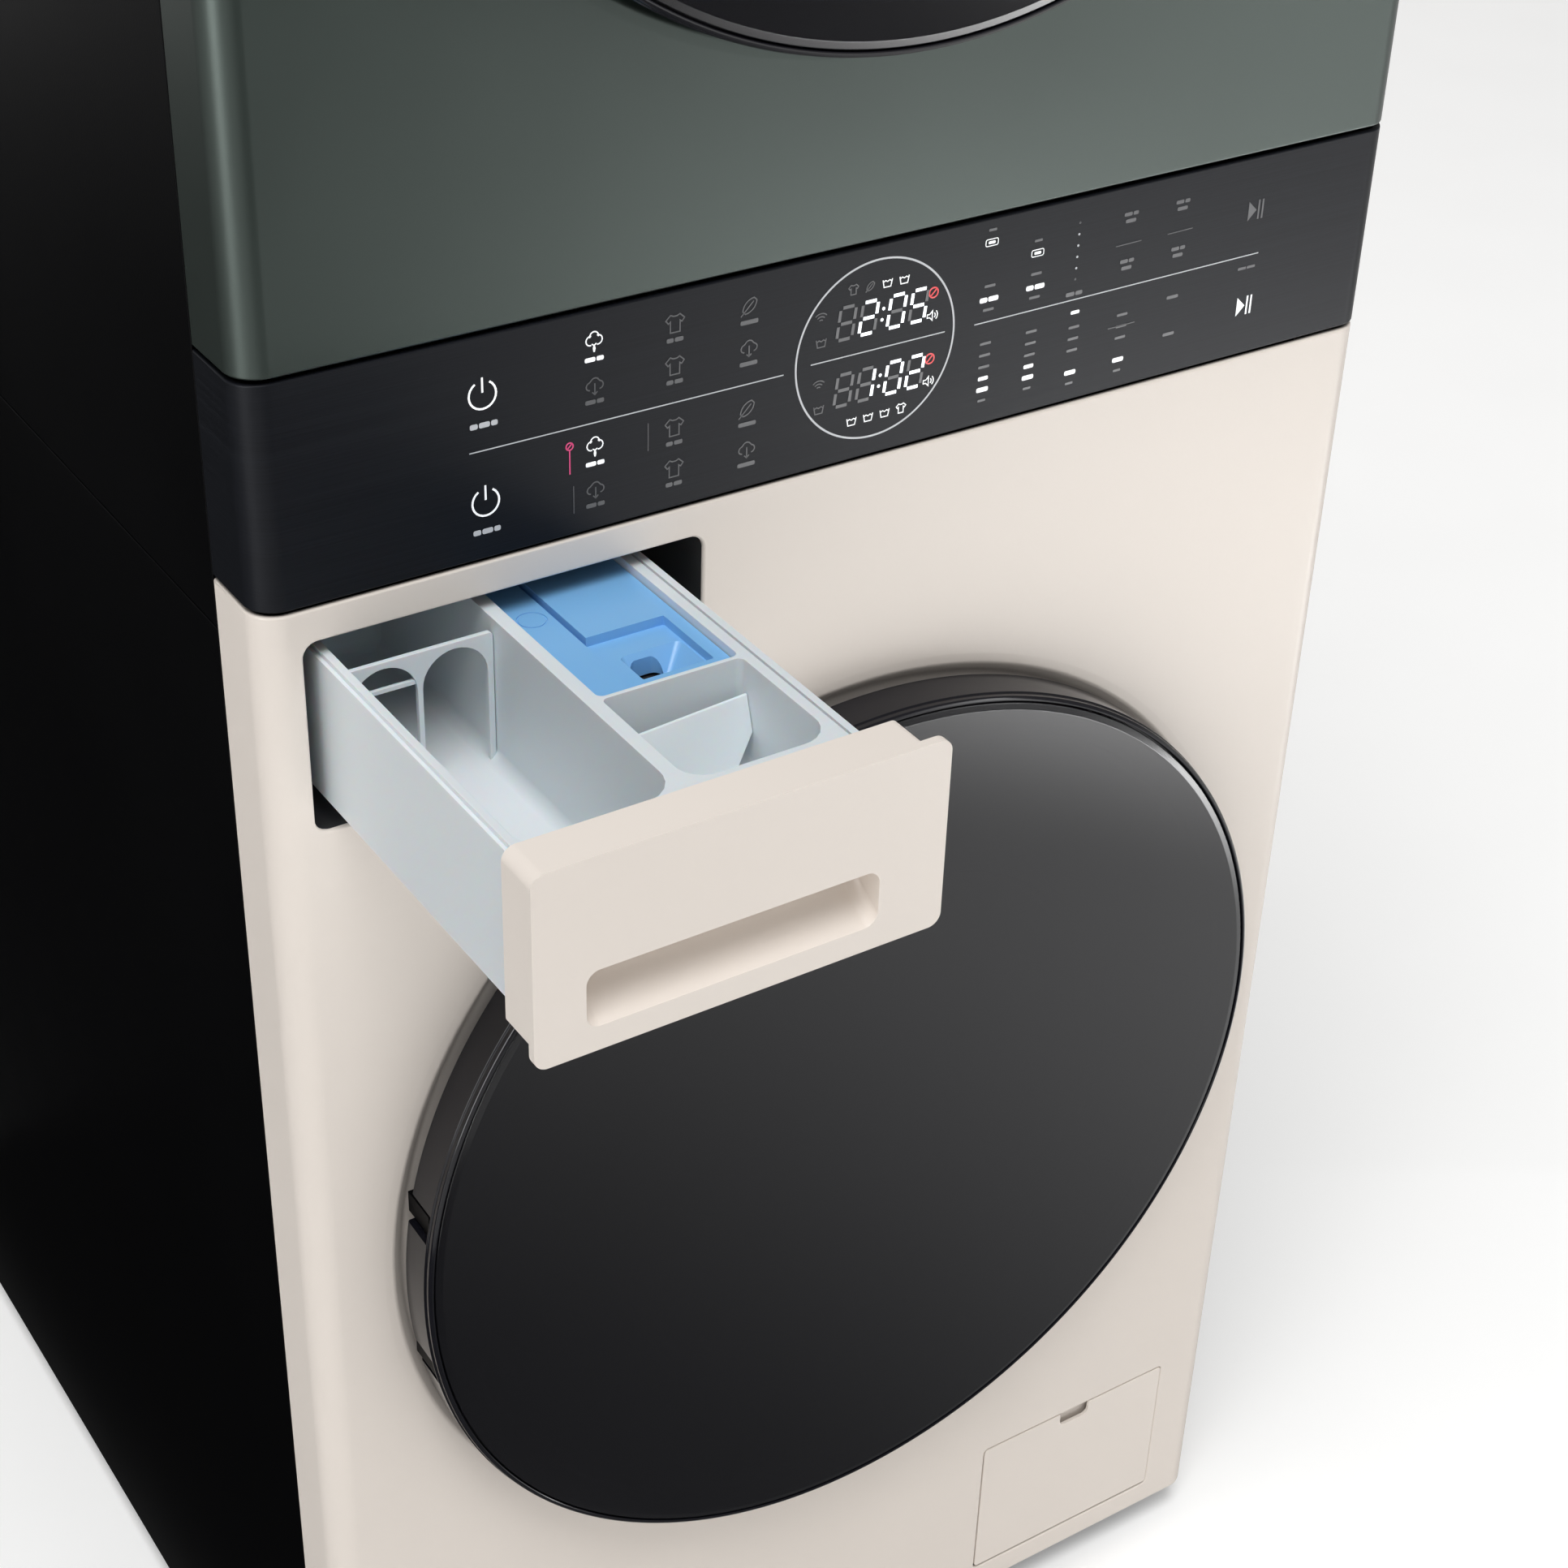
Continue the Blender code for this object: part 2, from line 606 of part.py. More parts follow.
def tub():
    wall = 0.003
    mouth = 0.1720
    shell = TUB_RADIUS
    at = (0, 0, WASHER_AXIS)
    front = [(mouth, 0.0580), (mouth + wall, 0.0580), (mouth + wall, 0.0700), (shell, 0.0700)]
    front += [(shell, TUB_SPLIT - GAP), (shell - wall, TUB_SPLIT - GAP), (shell - wall, 0.0730), (mouth, 0.0730)]
    paint(turned("tub_front", front, at), "grey_plastic")

    hub, seat = 0.045, BEARING_RADIUS + GAP
    rear = [(shell - wall, TUB_SPLIT), (shell, TUB_SPLIT), (shell, TUB_BACK)]
    rear += [(hub, TUB_BACK), (hub, TUB_BACK + 0.005)]
    rear += [(seat, TUB_BACK + 0.005), (seat, BEARING_FRONT), (hub, BEARING_FRONT), (hub, TUB_BACK - wall)]
    rear += [(shell - wall, TUB_BACK - wall)]
    body = turned("tub_rear", rear, at)
    for side, sign in (("left", -1), ("right", 1)):
        ear = sorted((sign * 0.2245, sign * 0.2800))
        lug = sorted((sign * 0.1580, sign * 0.1720))
        join(body, block(f"spring_ear_{side}", ear, (0.385, 0.415), (0.583, 0.593), CUTTERS))
        join(body, block(f"damper_lug_{side}", lug, (0.290, 0.310), (0.262, 0.2765), CUTTERS))
    spigot = cylinder("sump_spigot", 0.022, 0.190, 0.228, (0.050, 0.360, 0), "z", 24, CUTTERS)
    drain = cylinder("sump_drain", 0.018, 0.150, 0.240, (0.050, 0.360, 0), "z", 24, CUTTERS)
    paint(cut(join(body, spigot), drain), "grey_plastic")
    bearing = ring("drum_bearing", SHAFT_RADIUS + GAP, BEARING_RADIUS, BEARING_FRONT + 0.002, TUB_BACK, at)
    paint(bearing, "bearing_steel")


def wash_drum(pivot):
    wall = 0.0012
    mouth = 0.168
    outline = [(0, DRUM_BACK), (DRUM_RADIUS, DRUM_BACK), (DRUM_RADIUS, DRUM_FRONT), (mouth, DRUM_FRONT)]
    outline += [(mouth, DRUM_FRONT + wall), (DRUM_RADIUS - wall, DRUM_FRONT + wall)]
    outline += [(DRUM_RADIUS - wall, DRUM_BACK - wall), (0, DRUM_BACK - wall)]
    drum = paint(turned("wash_drum", outline, (0, 0, WASHER_AXIS)), "stainless")
    hang(pivot, drum)

    foot, crest, tall = 0.024, 0.008, 0.055
    seat = DRUM_RADIUS - wall - 0.0040
    section = [(foot, seat), (foot - 0.004, seat - 0.010), *arc((0, seat - tall + crest), crest, 0, -180, 4)]
    section += [(-foot + 0.004, seat - 0.010), (-foot, seat)]
    for i in range(3):
        lifter = prism(f"drum_lifter_{i + 1}", [section], DRUM_FRONT + 0.020, DRUM_BACK - 0.020)
        spoke = empty(f"spoke_{i + 1}", (0, 0, 0), pivot)
        spoke.rotation_euler = (0, math.radians(120 * i), 0)
        lifter.parent = spoke
        lifter.matrix_parent_inverse = Matrix.Identity(4)
        lifter.location.y -= pivot.location.y
        paint(lifter, "grey_plastic")


def spider_and_motor(pivot):
    """The drum's cast spider with its shaft, and the direct-drive motor on the tub's back."""
    at = (0, 0, WASHER_AXIS)
    start = DRUM_BACK + GAP
    outline = [(0, start), (0.036, start), (0.036, BEARING_FRONT - 0.001), (SHAFT_RADIUS, BEARING_FRONT - 0.001)]
    outline += [(SHAFT_RADIUS, 0.592), (0, 0.592)]
    spider = turned("drum_spider", outline, at)
    for i in range(3):
        angle = math.radians(30 + 120 * i)
        arm = block(f"spider_arm_{i}", (0.020, 0.222), (start + 0.0002, start + 0.011), (-0.013, 0.013), CUTTERS)
        arm.location = at
        arm.rotation_euler = (0, angle, 0)
        join(spider, arm)
    paint(spider, "cast_aluminium")

    stator = ring("motor_stator", 0.060, 0.114, TUB_BACK + 0.003, TUB_BACK + 0.030, at)
    for i in range(12):
        slot = block(f"stator_slot_{i}", (0.078, 0.120), (TUB_BACK, TUB_BACK + 0.04), (-0.004, 0.004), CUTTERS)
        slot.location = at
        slot.rotation_euler = (0, math.radians(30 * i), 0)
        cut(stator, slot)
    paint(stator, "copper")

    back = 0.583
    hub = SHAFT_RADIUS + GAP
    cup = [(0.1180, TUB_BACK + 0.006), (0.1240, TUB_BACK + 0.006)]
    cup += [(0.1240, back), (hub, back), (hub, back - 0.020)]
    cup += [(0.0200, back - 0.020), (0.0200, back - 0.003), (0.1180, back - 0.003)]
    rotor = paint(turned("motor_rotor", cup, at), "galvanised")
    hang(pivot, spider, rotor)


def ballast_and_suspension():
    at = (0, 0, WASHER_AXIS)
    paint(ring("counterweight", 0.192, 0.246, 0.0335, 0.0680, at), "concrete")
    turns, per_turn, low, high = 5, 8, 0.5960, 0.8490
    hook = 0.030
    for side, sign in (("left", -1), ("right", 1)):
        x = sign * 0.268
        coil = [Vector((x, 0.400, low))]
        for i in range(turns * per_turn + 1):
            angle = 2 * math.pi * i / per_turn
            up = low + hook + (high - low - 2 * hook) * i / (turns * per_turn)
            coil.append(Vector((x + 0.012 * math.cos(angle), 0.400 + 0.012 * math.sin(angle), up)))
        coil.append(Vector((x, 0.400, high)))
        paint(tube(f"suspension_spring_{side}", coil, 0.0019, 1), "bearing_steel")
        leg = [(0, 0.0234), (0.014, 0.0234), (0.014, 0.170), (0.006, 0.170), (0.006, 0.2610), (0, 0.2610)]
        paint(turned(f"damper_{side}", leg, (sign * 0.165, 0.300, 0), "z", 16), "dark_plastic")


def drain_pump():
    at = (PUMP_X, 0, PUMP_Z)
    outline = [(0.0260, 0.0400), (0.0340, 0.0400), (0.0340, 0.1220), (0.0300, 0.1220)]
    outline += [(0.0300, 0.1700), (0, 0.1700), (0, 0.1190), (0.0260, 0.1190)]
    pump = turned("drain_pump", outline, at, steps=32)
    inlet = cylinder("pump_inlet", 0.0150, -0.045, -0.028, (PUMP_X, 0.1020, PUMP_Z), "x", 16, CUTTERS)
    inlet_bore = cylinder("pump_inlet_bore", 0.0120, -0.060, -0.020, (PUMP_X, 0.1020, PUMP_Z), "x", 16, CUTTERS)
    paint(cut(join(pump, inlet), inlet_bore), "dark_plastic")

    disc = [(0, 0.1060), (0.0210, 0.1060), (0.0210, 0.1090), (0, 0.1090)]
    blades = turned("pump_impeller", disc, at, steps=16)
    for i in range(2):
        vane = block(f"vane_{i}", (-0.0200, 0.0200), (0.0920, 0.1070), (-0.0012, 0.0012), CUTTERS)
        vane.location = at
        vane.rotation_euler = (0, math.radians(90 * i), 0)
        join(blades, vane)
    paint(blades, "grey_plastic")
    hang(empty("axis_pump", at, TOWER), blades)

    stem = [(0, 0.0280), (0.0310, 0.0280), (0.0310, 0.0370), (0.0235, 0.0370), (0.0235, 0.0880), (0, 0.0880)]
    strainer = turned("drain_filter", stem, at, steps=32)
    grip_box = (PUMP_X - 0.024, PUMP_X + 0.024), (0.0120, 0.0290), (PUMP_Z - 0.004, PUMP_Z + 0.004)
    grip = block("filter_grip", *grip_box, CUTTERS)
    window_box = (PUMP_X - 0.05, PUMP_X + 0.05), (0.0500, 0.0820), (PUMP_Z - 0.009, PUMP_Z + 0.009)
    window = block("strainer_window", *window_box, CUTTERS)
    paint(cut(join(strainer, grip), window), "grey_plastic")
    hang(empty("axis_drain_filter", at, TOWER), strainer)


def sump_hose():
    """The hose from the tub's lowest point down to the pump."""
    route = [(0.050, 0.360, 0.1896), (0.050, 0.360, 0.160), (0.052, 0.340, 0.120), (0.060, 0.250, 0.096)]
    route += [(0.072, 0.150, 0.092), (0.098, 0.108, 0.092), (0.130, 0.102, 0.092), (0.1470, 0.102, 0.092)]
    paint(tube("sump_hose", smooth(route, 3), 0.0145), "black_rubber")


def inlet_valve():
    body = block("inlet_valve", (0.170, 0.255), (0.5650, REAR - GAP), (VALVE_Z - 0.020, VALVE_Z + 0.020))
    for i, x in enumerate(VALVE_X):
        at = (x, 0, VALVE_Z)
        join(body, ring(f"valve_thread_{i}", 0.0085, 0.0132, REAR - 0.010, REARMOST, at, steps=16, group=CUTTERS))
    paint(body, "grey_plastic")


def service_flap():
    left, right, low, high = FLAP
    flap = prism("service_flap", [rounded(FLAP, 0.002, 2)], 0, 0.0020)
    notch = (left + 0.058, left + 0.080, high - 0.0095, high + 0.010)
    cut(flap, prism("flap_notch", [rounded(notch, 0.004)], -0.01, 0.01, group=CUTTERS))
    knuckle = cylinder("flap_knuckle", 0.0025, left + 0.020, right - 0.020, (0, *FLAP_AXIS), "x", 12, CUTTERS)
    web_box = (left + 0.020, right - 0.020), (0.0010, FLAP_AXIS[0]), (low + 0.0045, low + 0.0075)
    web = block("flap_web", *web_box, CUTTERS)
    join(flap, web, knuckle)
    hang(empty("axis_service_flap", (0, *FLAP_AXIS), TOWER), paint(flap, "cream_enamel"))


# ---------------------------------------------------------------- dryer


def dryer_base():
    """The deck between the two machines, with the post that carries the dryer drum's rear bearing."""
    deck = block("dryer_base", (-0.2960, 0.2960), (0.0700, 0.6000), (0.8530, 0.8830))
    hollow = block("deck_hollow", (-0.2930, 0.2930), (0.0730, 0.5970), (0.8560, 0.90), CUTTERS)
    post = block("bearing_post", (-0.045, 0.045), (0.5600, 0.5650), (0.8545, DRYER_AXIS + 0.035), CUTTERS)
    foot = block("post_foot", (-0.045, 0.045), (0.5600, 0.5980), (0.8545, 0.8700), CUTTERS)
    bore = cylinder("post_bore", SHAFT_RADIUS + GAP, 0.55, 0.58, (0, 0, DRYER_AXIS), steps=24, group=CUTTERS)
    paint(cut(join(cut(deck, hollow), post, foot), bore), "dark_plastic")


def dryer_drum():
    wall, mouth, front, back = 0.0015, 0.170, 0.055, 0.545
    shell = DRYER_DRUM_RADIUS
    outline = [(0, back + 0.030), (SHAFT_RADIUS, back + 0.030), (SHAFT_RADIUS, back)]
    outline += [(shell, back), (shell, front), (mouth, front), (mouth, front + wall)]
    outline += [(shell - wall, front + wall), (shell - wall, back - wall), (0, back - wall)]
    at = (0, 0, DRYER_AXIS)
    drum = paint(turned("dryer_drum", outline, at), "stainless")
    hang(empty("axis_dryer_drum", at, TOWER), drum)


def belt_outline(around_drum, around_pulley):
    """A taut loop round both pulleys: an arc on each, and the straight runs between them."""
    drum, pulley = Vector((0, DRYER_AXIS)), Vector((MOTOR_X, MOTOR_Z))
    away = pulley - drum
    facing = math.degrees(math.atan2(away.y, away.x))
    spread = math.degrees(math.acos((around_drum - around_pulley) / away.length))
    over = arc(drum, around_drum, facing + spread, facing + 360 - spread, 40)
    return over + arc(pulley, around_pulley, facing - spread, facing + spread, 8)


def dryer_drive():
    inner = belt_outline(DRYER_DRUM_RADIUS + 0.0006, PULLEY_RADIUS + 0.0006)
    outer = belt_outline(DRYER_DRUM_RADIUS + 0.0026, PULLEY_RADIUS + 0.0026)
    paint(prism("dryer_belt", [outer, inner], BELT_FRONT, BELT_BACK), "black_rubber")

    at = (MOTOR_X, 0, MOTOR_Z)
    motor = ring("dryer_motor", 0.0075, 0.0450, 0.2000, 0.3300, at, steps=32)
    cradle = block("motor_cradle", (MOTOR_X - 0.040, MOTOR_X + 0.040), (0.220, 0.310), (0.8565, 0.900), CUTTERS)
    paint(join(motor, cradle), "galvanised")

    shaft = [(0, 0.1050), (0.0640, 0.1050), (0.0640, 0.1080), (0.0160, 0.1080), (0.0160, 0.1600)]
    shaft += [(0.0070, 0.1600), (0.0070, 0.3900), (0.0150, 0.3900)]
    shaft += [(0.0150, BELT_FRONT - 0.003), (PULLEY_RADIUS, BELT_FRONT - 0.002)]
    shaft += [(PULLEY_RADIUS, BELT_BACK + 0.002), (0.0150, BELT_BACK + 0.003), (0.0150, 0.4200), (0, 0.4200)]
    wheel = turned("blower_wheel", shaft, at, steps=24)
    for i in range(6):
        blade = block(f"blade_{i}", (0.0140, 0.0630), (0.1070, 0.1550), (-0.001, 0.001), CUTTERS)
        blade.location = at
        blade.rotation_euler = (0, math.radians(60 * i), 0)
        join(wheel, blade)
    hang(empty("axis_dryer_motor", at, TOWER), paint(wheel, "dark_plastic"))


def heat_pump():
    core = block("heat_exchanger", (-0.230, -0.020), (0.130, 0.500), (0.8565, 0.9850))
    fins = 14
    for i in range(fins):
        y = 0.136 + i * 0.0258
        cut(core, block(f"fin_gap_{i}", (-0.226, -0.024), (y, y + 0.022), (0.860, 1.0), CUTTERS))
    paint(core, "fin_aluminium")
    can = [(0, 0.8565), (0.040, 0.8565), (0.060, 0.866), (0.062, 0.975)]
    can += [(0.050, 0.998), (0.025, 1.006), (0, 1.006)]
    paint(turned("compressor", can, (0.205, 0.500, 0), "z", 32), "black_enamel")


def lint_filter():
    frame = block("lint_filter", (-0.105, 0.105), (0.0300, 0.0440), (1.010, 1.128))
    pull = block("lint_pull", (-0.030, 0.030), (0.0330, 0.0410), (1.127, 1.140), CUTTERS)
    mesh = block("lint_mesh", (-0.097, 0.097), (0.0200, 0.0420), (1.020, 1.112), CUTTERS)
    slide = empty("axis_lint_filter", (0, 0.037, 1.069), TOWER)
    hang(slide, paint(cut(join(frame, pull), mesh), "grey_plastic"))


# ---------------------------------------------------------------- the tower

clear_scene()
PARTS = collection("laundry_tower")
CUTTERS = collection("cutters")
TOWER = empty("tower", (0, -MIDDLE_Y, 0))

fronts()
sides()
rear_panel()
top_cover()
base_and_feet()
drawer()
dispenser_housing()
doors()
gasket()
tub()
DRUM_AXIS = empty("axis_wash_drum", (0, 0, WASHER_AXIS), TOWER)
wash_drum(DRUM_AXIS)
spider_and_motor(DRUM_AXIS)
ballast_and_suspension()
drain_pump()
sump_hose()
inlet_valve()
service_flap()
dryer_base()
dryer_drum()
dryer_drive()
heat_pump()
lint_filter()
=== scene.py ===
"""The looks of a stacked washer and dryer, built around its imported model. Metres, +Z up.

Pieces are drawn in cabinet coordinates: x and z as in the frame, and depth measured from the plane
of the front panels towards the wall. Every piece then stands at y = FRONT. The detergent drawer is
drawn pulled out, as in the frame at rest.
"""

import json
import math

import bmesh
import bpy
from mathutils import Matrix, Vector


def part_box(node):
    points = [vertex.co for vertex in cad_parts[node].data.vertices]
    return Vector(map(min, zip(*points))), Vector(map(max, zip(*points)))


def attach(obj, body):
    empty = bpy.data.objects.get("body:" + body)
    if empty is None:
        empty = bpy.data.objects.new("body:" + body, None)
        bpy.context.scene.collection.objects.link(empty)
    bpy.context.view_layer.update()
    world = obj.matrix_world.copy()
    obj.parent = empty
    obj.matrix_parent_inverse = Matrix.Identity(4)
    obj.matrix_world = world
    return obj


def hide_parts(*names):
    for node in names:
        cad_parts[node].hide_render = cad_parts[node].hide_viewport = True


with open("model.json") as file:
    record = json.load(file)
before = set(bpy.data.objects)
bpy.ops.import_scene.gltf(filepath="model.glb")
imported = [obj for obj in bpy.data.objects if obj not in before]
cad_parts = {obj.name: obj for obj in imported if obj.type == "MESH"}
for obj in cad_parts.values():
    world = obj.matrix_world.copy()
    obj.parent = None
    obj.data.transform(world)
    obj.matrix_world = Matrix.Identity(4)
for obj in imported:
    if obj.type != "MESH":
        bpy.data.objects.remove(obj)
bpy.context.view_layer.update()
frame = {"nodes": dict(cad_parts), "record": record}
NODES = frame["nodes"]


def span(node, axis):
    """A node's lowest and highest coordinate along one axis, 0 to 2."""
    low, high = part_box(node)
    return low[axis], high[axis]


def middle(node, axis):
    low, high = span(node, axis)
    return (low + high) / 2


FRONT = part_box("washer_front_panel")[0].y
HALF = span("washer_front_panel", 0)[1]
CORNER = 0.014
RETURN = span("washer_front_panel", 1)[1] - FRONT
WASHER_AXIS = middle("washer_door_ring", 2)
DRYER_AXIS = middle("dryer_door_ring", 2)
DOOR_RADIUS = span("washer_door_ring", 0)[1]
DOOR_FACE = span("washer_door_ring", 1)[0] - FRONT
DOOR_BACK = span("washer_door_ring", 1)[1] - FRONT
HOLE_RADIUS = 0.178
PANEL_LOW, PANEL_HIGH = span("control_panel", 2)
DRUM_RADIUS = span("wash_drum", 0)[1]


# ---------------------------------------------------------------- camera, light and floor

EYE = (-0.6755, -1.1577, 1.4293)
PAN, TILT, ROLL = 34.09, 33.29, 2.0
FOCAL_MM = 65.12


def turn(angle, axis):
    return Matrix.Rotation(math.radians(angle), 4, axis)


def make_camera():
    data = bpy.data.cameras.new("camera")
    data.lens = FOCAL_MM
    data.sensor_width = 36.0
    camera = bpy.data.objects.new("camera", data)
    bpy.context.scene.collection.objects.link(camera)
    camera.matrix_world = Matrix.Translation(EYE) @ turn(-PAN, "Z") @ turn(90 - TILT, "X") @ turn(ROLL, "Z")
    bpy.context.scene.camera = camera


def area_light(name, at, towards, size, power, colour=(1, 1, 1)):
    data = bpy.data.lights.new(name, "AREA")
    data.shape = "RECTANGLE"
    data.size, data.size_y = size
    data.energy = power
    data.color = colour
    lamp = bpy.data.objects.new(name, data)
    bpy.context.scene.collection.objects.link(lamp)
    lamp.location = at
    lamp.rotation_euler = (Vector(towards) - Vector(at)).to_track_quat("-Z", "Y").to_euler()


def card(name, corners, dark, light, along, spin=0):
    """A studio card that only reflections see, its light rising from dark to light along x, y or z."""
    bm = bmesh.new()
    bm.faces.new([bm.verts.new(corner) for corner in corners])
    mesh = bpy.data.meshes.new(name)
    bm.to_mesh(mesh)
    bm.free()
    obj = bpy.data.objects.new(name, mesh)
    bpy.context.scene.collection.objects.link(obj)
    obj.rotation_euler.z = math.radians(spin)
    obj.visible_camera = obj.visible_diffuse = obj.visible_shadow = obj.visible_transmission = False
    material = bpy.data.materials.new(name)
    material.use_nodes = True
    nodes, links = material.node_tree.nodes, material.node_tree.links
    nodes.clear()
    place = nodes.new("ShaderNodeTexCoord")
    split = nodes.new("ShaderNodeSeparateXYZ")
    ramp = nodes.new("ShaderNodeMapRange")
    ramp.interpolation_type = "SMOOTHSTEP"
    ramp.inputs["To Min"].default_value, ramp.inputs["To Max"].default_value = dark, light
    emit = nodes.new("ShaderNodeEmission")
    out = nodes.new("ShaderNodeOutputMaterial")
    links.new(place.outputs["Generated"], split.inputs[0])
    links.new(split.outputs[along], ramp.inputs["Value"])
    links.new(ramp.outputs[0], emit.inputs["Strength"])
    links.new(emit.outputs[0], out.inputs["Surface"])
    mesh.materials.append(material)


def make_studio():
    scene = bpy.context.scene
    scene.view_settings.view_transform = "Standard"
    world = bpy.data.worlds.new("studio")
    scene.world = world
    world.use_nodes = True
    world.node_tree.nodes["Background"].inputs["Color"].default_value = (1.0, 0.99, 0.98, 1)
    world.node_tree.nodes["Background"].inputs["Strength"].default_value = 0.34
    area_light("key", (-1.8, -2.8, 9.4), (0, -0.2, 0.8), (5.5, 5.5), 690)
    area_light("strip", (-3.2, -1.6, 1.5), (0, -0.1, 1.0), (0.5, 2.6), 3)
    floor_mesh = bpy.data.meshes.new("floor")
    bm = bmesh.new()
    bmesh.ops.create_grid(bm, x_segments=2, y_segments=2, size=14.0)
    bm.to_mesh(floor_mesh)
    floor = bpy.data.objects.new("floor", floor_mesh)
    scene.collection.objects.link(floor)
    pale = finish("floor", (0.95, 0.95, 0.945), 0.7, grain=(60, 0.01), shade=0.004)
    sockets = pale.node_tree.nodes["Principled BSDF"].inputs
    sockets["Emission Color"].default_value = (1, 1, 1, 1)
    sockets["Emission Strength"].default_value = 0.16
    floor_mesh.materials.append(pale)
    cards = {
        "door_flank": ((-0.9, 0.2), (0.3, -1.1), 0.05, 0.14, -31),
        "door_card": ((0.2, 1.12), (0.3, -1.1), 0.14, 1.4, -31),
        "door_glow": ((1.12, 2.0), (0.3, -1.1), 1.4, 17.0, -31),
        "far_card": ((1.5, 3.6), (-1.9, -4.6), 0.1, 5.5, 0),
        "far_flank": ((-0.9, 1.5), (-1.9, -4.6), 0.1, 0.1, 0),
        "side_flag": ((-2.6, -0.32), (3.2, -0.26), 0.004, 0.008, 0),
    }
    for i, (name, ((x0, x1), (y0, y1), dark, light, spin)) in enumerate(cards.items()):
        low = 0.004 + 0.0005 * i
        card(name, [(x0, y0, low), (x0, y1, low), (x1, y1, low), (x1, y0, low)], dark, light, "X", spin)
    far, high = -4.6, 3.0
    for name, x0, x1, light in (("wall_card", -0.6, 1.8, 0.05), ("wall_glow", 1.8, 5.6, 7.0)):
        card(name, [(x0, far, 0), (x1, far, 0), (x1, far, high), (x0, far, high)], 0.05, light, "X")
    left, low, high = -3.2, 0.1, 2.8
    card("corner_card", [(left, -0.8, low), (left, -2.2, low), (left, -2.2, high), (left, -0.8, high)], 11.0, 16.0, "Z")


# ---------------------------------------------------------------- materials


def shader(name, colour, roughness, metallic=0.0, **sockets):
    """A Principled material. Sockets are named with _ for a space."""
    material = bpy.data.materials.new(name)
    material.use_nodes = True
    bsdf = material.node_tree.nodes["Principled BSDF"]
    bsdf.inputs["Base Color"].default_value = (*colour, 1)
    bsdf.inputs["Roughness"].default_value = roughness
    bsdf.inputs["Metallic"].default_value = metallic
    for socket, value in sockets.items():
        bsdf.inputs[socket.replace("_", " ")].default_value = value
    return material


def texture(material, kind, scale, stretch=(1, 1, 1), **settings):
    """A Noise, Voronoi or Wave texture laid in the piece's own coordinates."""
    nodes, links = material.node_tree.nodes, material.node_tree.links
    place = nodes.new("ShaderNodeTexCoord")
    mapping = nodes.new("ShaderNodeMapping")
    mapping.inputs["Scale"].default_value = stretch
    made = nodes.new(f"ShaderNodeTex{kind}")
    made.inputs["Scale"].default_value = scale
    for key, value in settings.items():
        made.inputs[key].default_value = value
    links.new(place.outputs["Object"], mapping.inputs["Vector"])
    links.new(mapping.outputs["Vector"], made.inputs["Vector"])
    return made.outputs[0]


def remap(material, value, low, high):
    """The value, from its middle range of 0.3 to 0.7, spread from low to high."""
    node = material.node_tree.nodes.new("ShaderNodeMapRange")
    node.inputs["From Min"].default_value = 0.3
    node.inputs["From Max"].default_value = 0.7
    node.inputs["To Min"].default_value = low
    node.inputs["To Max"].default_value = high
    material.node_tree.links.new(value, node.inputs["Value"])
    return node.outputs["Result"]


def tint(material, value, first, second):
    """Base colour between two colours, by the value."""
    nodes, links = material.node_tree.nodes, material.node_tree.links
    mix = nodes.new("ShaderNodeMix")
    mix.data_type = "RGBA"
    mix.inputs["A"].default_value = (*first, 1)
    mix.inputs["B"].default_value = (*second, 1)
    links.new(remap(material, value, 0, 1), mix.inputs["Factor"])
    links.new(mix.outputs["Result"], nodes["Principled BSDF"].inputs["Base Color"])


def relief(material, value, strength, distance=0.0004):
    nodes, links = material.node_tree.nodes, material.node_tree.links
    bump = nodes.new("ShaderNodeBump")
    bump.inputs["Strength"].default_value = strength
    bump.inputs["Distance"].default_value = distance
    links.new(value, bump.inputs["Height"])
    links.new(bump.outputs["Normal"], nodes["Principled BSDF"].inputs["Normal"])


def rub(material, value, low, high):
    """Roughness between low and high, by the value."""
    nodes, links = material.node_tree.nodes, material.node_tree.links
    links.new(remap(material, value, low, high), nodes["Principled BSDF"].inputs["Roughness"])


def finish(name, colour, roughness, metallic=0.0, grain=(700, 0.05), shade=0.04, stretch=(1, 1, 1), **sockets):
    """A finish with a cloudy change of shade, a roughness that wanders and a fine grain in relief."""
    material = shader(name, colour, roughness, metallic, **sockets)
    cloud = texture(material, "Noise", 5.0, Detail=4.0)
    darker = tuple(c * (1 - shade) for c in colour)
    lighter = tuple(min(1, c * (1 + shade)) for c in colour)
    tint(material, cloud, darker, lighter)
    rub(material, cloud, roughness * 0.92, roughness * 1.08)
    scale, strength = grain
    relief(material, texture(material, "Noise", scale, stretch, Detail=3.0), strength)
    return material


def brushed(name, colour, roughness, metallic, stretch, strength, **sockets):
    """A brushed finish: fine lines, drawn out along the axes where stretch is small."""
    material = shader(name, colour, roughness, metallic, **sockets)
    lines = texture(material, "Noise", 1.0, stretch, Detail=6.0, Roughness=0.7)
    tint(material, lines, tuple(c * 0.72 for c in colour), tuple(c * 1.32 for c in colour))
    rub(material, lines, roughness * 0.85, roughness * 1.2)
    relief(material, lines, strength, 0.0002)
    return material


